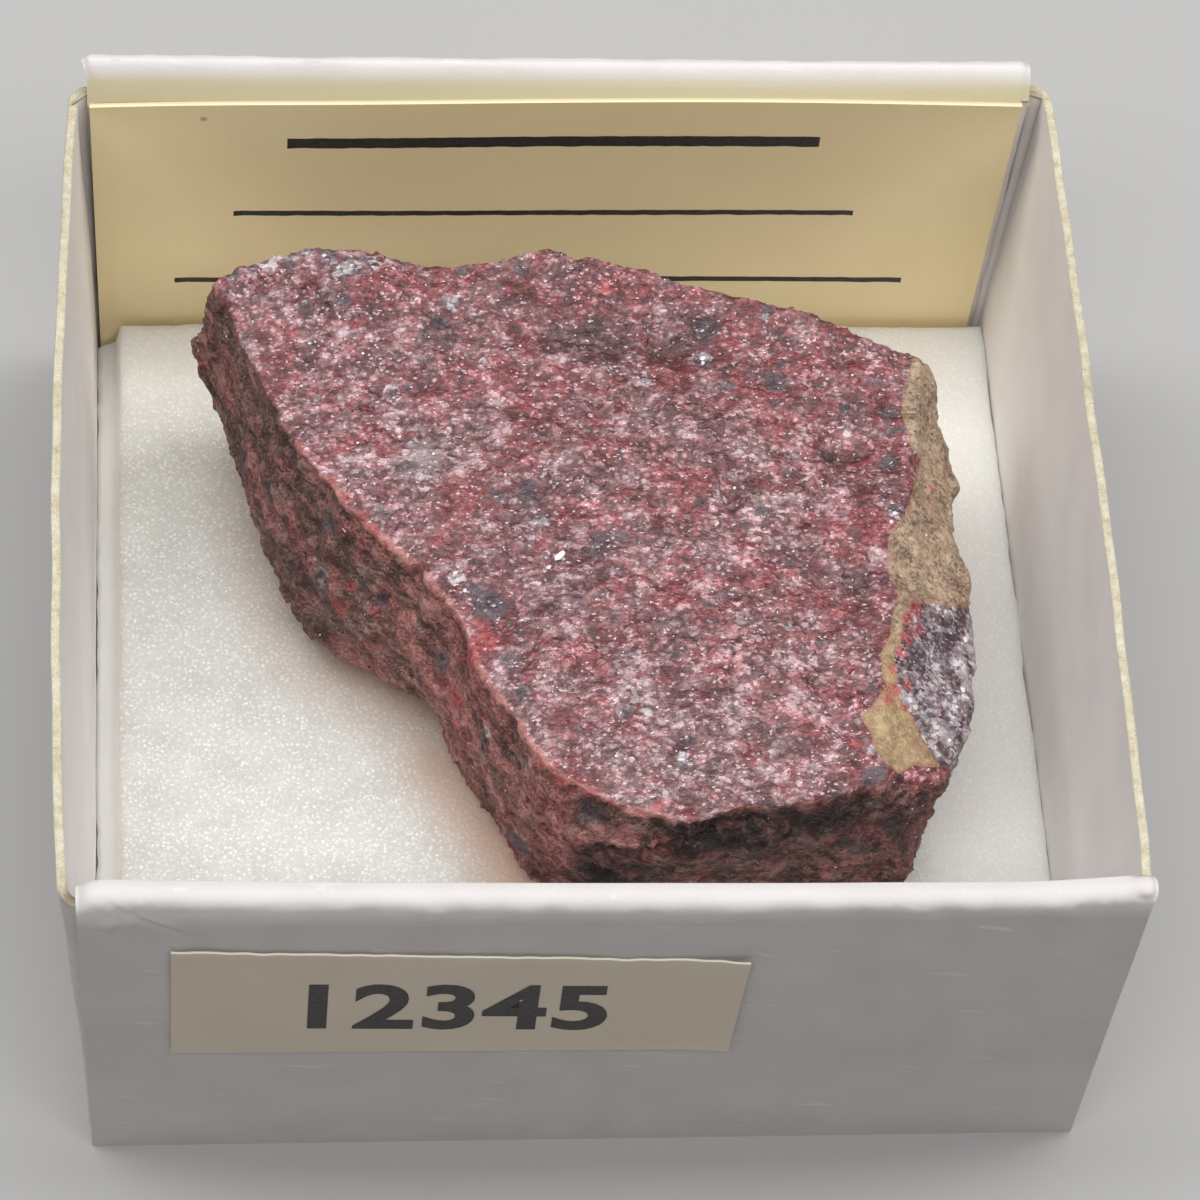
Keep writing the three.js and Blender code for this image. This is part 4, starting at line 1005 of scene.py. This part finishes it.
def broken_surface():
    """Geometry Nodes tree that roughens a mesh in mm: lumps, chips, pebbles and glints."""
    tree = bpy.data.node_groups.new("broken_surface", "GeometryNodeTree")
    for name, kind, default in (
        ("Geometry", "NodeSocketGeometry", None), ("Lump depth", "NodeSocketFloat", 0.1),
        ("Chip depth", "NodeSocketFloat", 0.1), ("Pebble depth", "NodeSocketFloat", 0.05),
        ("Glints per square mm", "NodeSocketFloat", 1.5), ("Glint size", "NodeSocketFloat", 0.05),
        ("Finish", "NodeSocketMaterial", None), ("Crystal", "NodeSocketMaterial", None),
    ):
        made = tree.interface.new_socket(name, in_out="INPUT", socket_type=kind)
        if default is not None:
            made.default_value = default
    tree.interface.new_socket("Geometry", in_out="OUTPUT", socket_type="NodeSocketGeometry")
    rock = Nodes(tree, ("GeometryNodeInputPosition", 0), 1.0)
    given = rock.add("NodeGroupInput")
    side, olive, silver, sunk = (
        rock.add("GeometryNodeInputNamedAttribute", {"data_type": "FLOAT"}, {"Name": name})
        for name in ("side", "olive", "silver", "sunk"))

    def chips(scale):
        """Small broken faces: each cell of the pattern is a plane of its own tilt."""
        cell = rock.cells(scale)
        out = rock.vector("SCALE", rock.vector("SUBTRACT", rock.place, cell.part("Position")), scale)
        return rock.vector("DOT_PRODUCT", out, rock.vector("SUBTRACT", cell.part("Color"), MIDDLE), "Value")

    drawn_out = rock.vector("MULTIPLY", rock.place, (0.62, 1.0, 1.0))
    pebbles = rock.add("ShaderNodeTexVoronoi", {"feature": "SMOOTH_F1"}, {
        "Vector": rock.vector("ADD", drawn_out, rock.vector("SCALE", rock.noise(1.6, 2, 0.6, out="Color"), 0.5)),
        "Scale": 1.7, "Smoothness": 0.35})
    lumps = (rock.noise(0.42, 3, 0.6) - 0.5) * given.part("Lump depth") * (1.6 + 1.4 * side)
    chipped = (chips(0.8) + 0.6 * chips(1.9)) * given.part("Chip depth") * (0.7 + 1.7 * side + 1.6 * sunk)
    fine = (0.42 - pebbles) * 1.5 + (rock.noise(2.3, 3, 0.6, drawn_out) - 0.5) * 2.4 + chips(3.1) * 0.8
    grainy = chipped + fine * given.part("Pebble depth") * (1 - 0.15 * side)
    rise = lumps + grainy * (1 - 0.5 * olive) * (1 - 0.4 * silver)
    wander = rock.vector("SCALE", rock.vector("SUBTRACT", rock.noise(0.7, 2, 0.6, out="Color"), MIDDLE), 0.45)
    noted = rock.add("GeometryNodeStoreNamedAttribute", {"data_type": "FLOAT", "domain": "POINT"}, {
        "Geometry": given.part("Geometry"), "Name": "stands_out", "Value": fine})
    moved = rock.add("GeometryNodeSetPosition", None, {
        "Geometry": noted,
        "Offset": rock.vector("ADD", rock.vector("SCALE", rock.add("GeometryNodeInputNormal"), rise), wander)})
    dressed = rock.add("GeometryNodeSetMaterial", None, {"Geometry": moved, "Material": given.part("Finish")})

    scatter = rock.add("GeometryNodeDistributePointsOnFaces", {"distribute_method": "RANDOM"}, {
        "Mesh": dressed, "Seed": 7,
        "Density": given.part("Glints per square mm")
        * rock.add("ShaderNodeMapRange", None, {
            "Value": rock.noise(0.8, 3, 0.6), "From Min": 0.42, "From Max": 0.64, "To Min": 0.15, "To Max": 1.9})
        * (1 - 0.85 * side) * (1 - 0.8 * olive)})
    gem = rock.add("GeometryNodeMeshUVSphere", None, {"Segments": 4, "Rings": 3, "Radius": 1.0})
    size = rock.add("FunctionNodeRandomValue", {"data_type": "FLOAT_VECTOR"}, {
        "Min": (0.5, 0.5, 0.35), "Max": (1.6, 1.1, 0.8), "Seed": 3})
    turned = rock.add("FunctionNodeRandomValue", {"data_type": "FLOAT_VECTOR"}, {
        "Min": (0, 0, 0), "Max": (6.28, 6.28, 6.28), "Seed": 5})
    glints = rock.add("GeometryNodeInstanceOnPoints", None, {
        "Points": scatter, "Instance": gem, "Rotation": turned,
        "Scale": rock.vector("SCALE", size, given.part("Glint size"))})
    shining = rock.add("GeometryNodeSetMaterial", None, {"Geometry": glints, "Material": given.part("Crystal")})
    both = rock.add("GeometryNodeJoinGeometry", None, {"Geometry": [shining, dressed]})
    real = rock.add("GeometryNodeRealizeInstances", None, {"Geometry": both})
    rock.add("NodeGroupOutput", None, {"Geometry": real})
    return tree


def cinnabar_finish():
    """Grains of cinnabar in their matrix, with the other minerals laid over."""
    ore = Finish("cinnabar_in_matrix")
    drawn_out = ore.vector("MULTIPLY", ore.place, (0.72, 1.0, 1.0))
    bent = ore.vector("ADD", drawn_out, ore.vector("SCALE", ore.noise(4.0, 2, 0.6, out="Color"), 0.22 * MM))
    coarse = ore.cells(2.6, bent)
    medium = ore.cells(5.5, bent)
    fine = ore.cells(11.0, drawn_out)
    chance, second, third = (
        ore.add("ShaderNodeSeparateColor", None, {0: grain.part("Color")}) for grain in (coarse, medium, fine))
    drift = ore.noise(0.8, 3, 0.6)
    patches = ore.noise(0.55, 4, 0.62)
    minor = ore.noise(1.3, 3, 0.62)
    deep = ore.own("deep")
    tone = chance * 0.2 + second * 0.34 + third * 0.2 + drift * 0.95 - 0.27 - deep * 0.06
    family = patches * 0.85 + chance.part("Green") * 0.1 + 0.04 + deep * 0.06

    # The fresh break: greyish, mauve or red grains.
    grey, mauve, red = (ore.ramp(tone, *stops) for stops in zip(*[
        [(at, *colour) for colour in colours] for at, *colours in (
            (0.15, (46, 30, 29), (60, 29, 30), (76, 22, 24)),
            (0.29, (72, 51, 49), (94, 59, 59), (108, 46, 48)),
            (0.416, (88, 66, 64), (114, 77, 79), (130, 62, 64)),
            (0.5, (108, 84, 81), (133, 92, 94), (144, 75, 77)),
            (0.584, (134, 106, 106), (153, 110, 112), (157, 90, 92)),
            (0.7, (163, 134, 136), (177, 136, 139), (177, 114, 118)),
            (0.82, (198, 176, 180), (210, 182, 187), (208, 166, 171)))]))
    face = ore.blend(ore.between(family, 0.36, 0.5), grey, mauve)
    face = ore.blend(ore.between(family, 0.5, 0.62), face, red)
    scarlet = ore.blend(third, rgb(104, 26, 31), rgb(170, 72, 77))
    face = ore.blend(ore.between(second.part("Green"), 0.82, 0.9) * 0.4, face, scarlet)
    dark = ore.between(second.part("Blue") * 0.4 + minor * 0.9, 0.76, 0.88)
    face = ore.blend(dark * 0.65, face, rgb(56, 40, 44))
    # Painted shade in the low places between the grains, and along the grains' borders.
    low = 1 - ore.between(ore.own("stands_out"), -0.75, 0.15)
    face = ore.blend(low * 0.4, face, rgb(62, 28, 31))
    grain_gap_shade = ore.between(coarse * 0.6 + medium * 0.5, 0.42, 0.72)
    face = ore.blend(grain_gap_shade * 0.5, face, rgb(66, 36, 38))

    # The older breaks at the sides: browner and dull, in beds along the edges.
    side = ore.own("side")
    streak = ore.noise(0.9, 4, 0.65, ore.stretched((3.2, 1.0, 0.8), (0.0, 0.25, math.radians(-55))))
    worn_tone = tone * 0.6 + streak * 1.3 + third * 0.24 + chance * 0.1 - 0.64
    brown = ore.ramp(
        worn_tone,
        (0.25, 62, 41, 36), (0.4, 90, 62, 56), (0.5, 108, 77, 70), (0.6, 127, 93, 84), (0.78, 155, 127, 117))
    rust = ore.ramp(
        worn_tone,
        (0.25, 90, 44, 40), (0.4, 119, 64, 60), (0.5, 137, 78, 74), (0.6, 152, 95, 90), (0.78, 176, 124, 120))
    aged = ore.blend(ore.between(patches * 0.6 + streak * 0.4 + ore.own("rusty") * 0.07, 0.44, 0.58), brown, rust)
    # Painted shade in the low places of the older breaks.
    aged = ore.blend(low * 0.4, aged, rgb(46, 31, 30))
    face = ore.blend(ore.between(side, 0.3, 0.7), face, aged)

    # The rubbed edge between them.
    rim = ore.between(ore.own("rim") + (minor - 0.5) * 1.2, 0.5, 0.95)
    face = ore.blend(rim * 0.7, face, ore.blend(tone, rgb(138, 66, 60), rgb(206, 146, 138)))

    # Grey and silvery quartz, and pale and dark blue-grey grains.
    edge = (ore.noise(2.4, 3, 0.6) - 0.5) * 0.9 + (second - 0.5) * 0.3
    silver = ore.between(ore.own("silver") + edge, 0.35, 0.6)
    quartz = ore.ramp(
        ore.noise(1.0, 4, 0.65) + (second - 0.5) * 0.22 + ore.own("pale") * 0.12 - ore.own("slate") * 0.1,
        (0.36, 50, 42, 47), (0.46, 98, 90, 96), (0.54, 142, 132, 135), (0.68, 208, 204, 205))
    face = ore.blend(silver * 0.85, face, quartz)
    pale_grey = ore.blend(tone, rgb(120, 106, 108), rgb(196, 186, 189))
    face = ore.blend(ore.between(ore.own("pale") + edge, 0.2, 0.7) * 0.5, face, pale_grey)
    slate = ore.between(ore.own("slate") + edge, 0.35, 0.65) * (1 - 0.6 * silver)
    blue_grey = ore.blend(third * 0.4 + second * 0.6, rgb(38, 34, 38), rgb(96, 90, 98))
    face = ore.blend(slate * 0.8, face, blue_grey)

    # The olive matrix.
    olive = ore.between(ore.own("olive") + (minor - 0.5) * 0.5, 0.4, 0.6)
    clay = ore.ramp(
        drift * 0.6 + third * 0.2 + second * 0.2,
        (0.32, 98, 78, 66), (0.44, 138, 117, 97), (0.56, 162, 140, 114), (0.72, 180, 158, 138))
    mustard = ore.blend(tone, rgb(122, 97, 66), rgb(184, 158, 114))
    clay = ore.blend(ore.own("mustard") * 0.75, clay, mustard)
    clay = ore.blend(ore.between(minor, 0.56, 0.66) * 0.5, clay, rgb(150, 112, 100))
    clay = ore.blend((1 - ore.between(ore.own("olive"), 0.6, 1.0)) * 0.5, clay, rgb(140, 92, 66))
    face = ore.blend(olive, face, clay)

    # Glowing spots of pure cinnabar, then painted shade in the pits and at the foot.
    ember = ore.between(ore.own("ember") + edge, 0.4, 0.75)
    face = ore.blend(ember * 0.7, face, ore.blend(second, rgb(120, 36, 40), rgb(178, 78, 80)))
    face = ore.blend(ore.own("carved") * 0.6, face, rgb(52, 34, 34))
    face = ore.blend(ore.own("foot") * 0.25, face, rgb(46, 34, 33))
    # Painted shade over the faces that hang back out of the light, uneven along the streaks.
    shade = 1.07 - ore.between(streak, 0.42, 0.58) * 0.36
    face = ore.blend(ore.own("sunk") * shade, face, rgb(76, 80, 84), "MULTIPLY")

    # A few grains are crystal faces that catch the light, each with a tilt of its own.
    tilt = ore.vector(
        "DOT_PRODUCT", ore.vector("SUBTRACT", bent, medium.part("Position")),
        ore.vector("SUBTRACT", medium.part("Color"), MIDDLE), "Value")
    crystal = ore.between(third.part("Green") + ore.own("silver") * 0.06, 0.935, 0.965)
    crystal = crystal * (1 - side * 0.8) * (1 - olive)
    face = ore.blend(crystal * 0.55, face, rgb(206, 184, 190))
    height = (1 - coarse) * 0.8 + (1 - fine) * 0.4 + tilt * (3.0 / MM)
    return ore.surface(
        Base_Color=face,
        Roughness=0.5 + side * 0.12 - crystal * 0.25,
        Metallic=crystal * 0.35,
        Specular_IOR_Level=0.5,
        Normal=ore.relief(height, 0.12, 0.62))


def crystal_finish():
    """Clear white crystal, catching the light."""
    crystal = Finish("crystal")
    cloud = crystal.ramp(crystal.noise(3.0, 2), (0.35, 224, 208, 212), (0.65, 248, 244, 244))
    return crystal.surface(Base_Color=cloud, Roughness=0.15)


crystal = crystal_finish()
lump = put("lump", shape_by_hand(remeshed(frame["nodes"]["cinnabar_rock"], GRAIN)))
roughen = lump.modifiers.new("roughen", "NODES")
roughen.node_group = broken_surface()
keys = {item.name: item.identifier for item in roughen.node_group.interface.items_tree if item.in_out == "INPUT"}
for name, value in (
    ("Lump depth", 0.16), ("Chip depth", 0.12), ("Pebble depth", 0.115), ("Glints per square mm", 0.5),
    ("Glint size", 0.047), ("Finish", cinnabar_finish()), ("Crystal", crystal),
):
    roughen[keys[name]] = value
broken = bpy.data.meshes.new_from_object(lump.evaluated_get(bpy.context.evaluated_depsgraph_get()))
lump.modifiers.clear()
lump.data = broken
ground = np.zeros(len(broken.vertices) * 3)
broken.vertices.foreach_get("co", ground)
ground = ground.reshape(-1, 3)

# The larger flecks lie where the surface is, half sunk in it.
gem_points, gem_faces = [], []
for x, y, z, length, width, heading in FLECKS:
    nearest = ground[np.argmin(((ground - (x, y, z)) ** 2).sum(1))]
    turn = math.radians(heading)
    lengthwise = np.array([math.cos(turn), math.sin(turn), 0.1]) * length / 2
    crosswise = np.array([-math.sin(turn), math.cos(turn), 0.05]) * width / 2
    upward = np.array([0.1, -0.1, 1.0]) * width * 0.35
    first = len(gem_points)
    gem_points += [nearest + offset for offset in (
        lengthwise, 0.5 * lengthwise + crosswise, crosswise - 0.6 * lengthwise, -lengthwise,
        -0.5 * lengthwise - crosswise, 0.6 * lengthwise - crosswise, upward + 0.3 * lengthwise,
        upward - 0.3 * lengthwise, -upward)]
    gem_faces += [[first + i for i in face] for face in (
        (0, 1, 6), (1, 2, 7, 6), (2, 3, 7), (3, 4, 7), (4, 5, 6, 7), (5, 0, 6),
        (1, 0, 8), (2, 1, 8), (3, 2, 8), (4, 3, 8), (5, 4, 8), (0, 5, 8))]
fleck_mesh = bpy.data.meshes.new("crystal_flecks")
fleck_mesh.from_pydata(in_place(gem_points).tolist(), [], gem_faces)
fleck_mesh.materials.append(crystal)
flecks = put("crystal_flecks", fleck_mesh)
broken.transform(Matrix.Translation(FLOOR_MIDDLE))
broken.transform(Matrix.Scale(MM, 4))
broken.shade_smooth()
for made in (lump, flecks):
    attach(made, "root")
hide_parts("cinnabar_rock")

# ---- Where it stands, and the light ---------------------------------------------
# A plain pale table top under two long soft lights hung crosswise overhead, the
# stronger a little behind the tray and the weaker before it. Metres and watts.
table = Finish("pale_table")
table_top = bpy.data.meshes.new("table_top")
table_top.from_pydata([(-2, -2, 0), (2, -2, 0), (2, 2, 0), (-2, 2, 0)], [], [(0, 1, 2, 3)])
table_top.materials.append(table.surface(
    Base_Color=table.ramp(table.noise(0.02, 3), (0.3, 166, 165, 164), (0.7, 170, 169, 168)),
    Roughness=0.8))
stand = put("table_top", table_top)

for name, place, wide, deep, power in (
    ("behind", (0.0, 0.12, 0.55), 1.7, 0.24, 6.6),
    ("before", (0.0, -0.3, 0.55), 1.0, 0.18, 2.85),
):
    lamp = bpy.data.lights.new(name, "AREA")
    lamp.shape = "RECTANGLE"
    lamp.size, lamp.size_y = wide, deep
    lamp.energy = power
    light = put(name, lamp)
    light.location = place
    light.rotation_euler = (-Vector(place)).to_track_quat("-Z", "Y").to_euler()

surround = bpy.data.worlds.new("surround")
surround.use_nodes = True
backdrop = surround.node_tree.nodes["Background"].inputs
backdrop["Color"].default_value = rgb(225, 226, 230)
backdrop["Strength"].default_value = 0.02
bpy.context.scene.world = surround
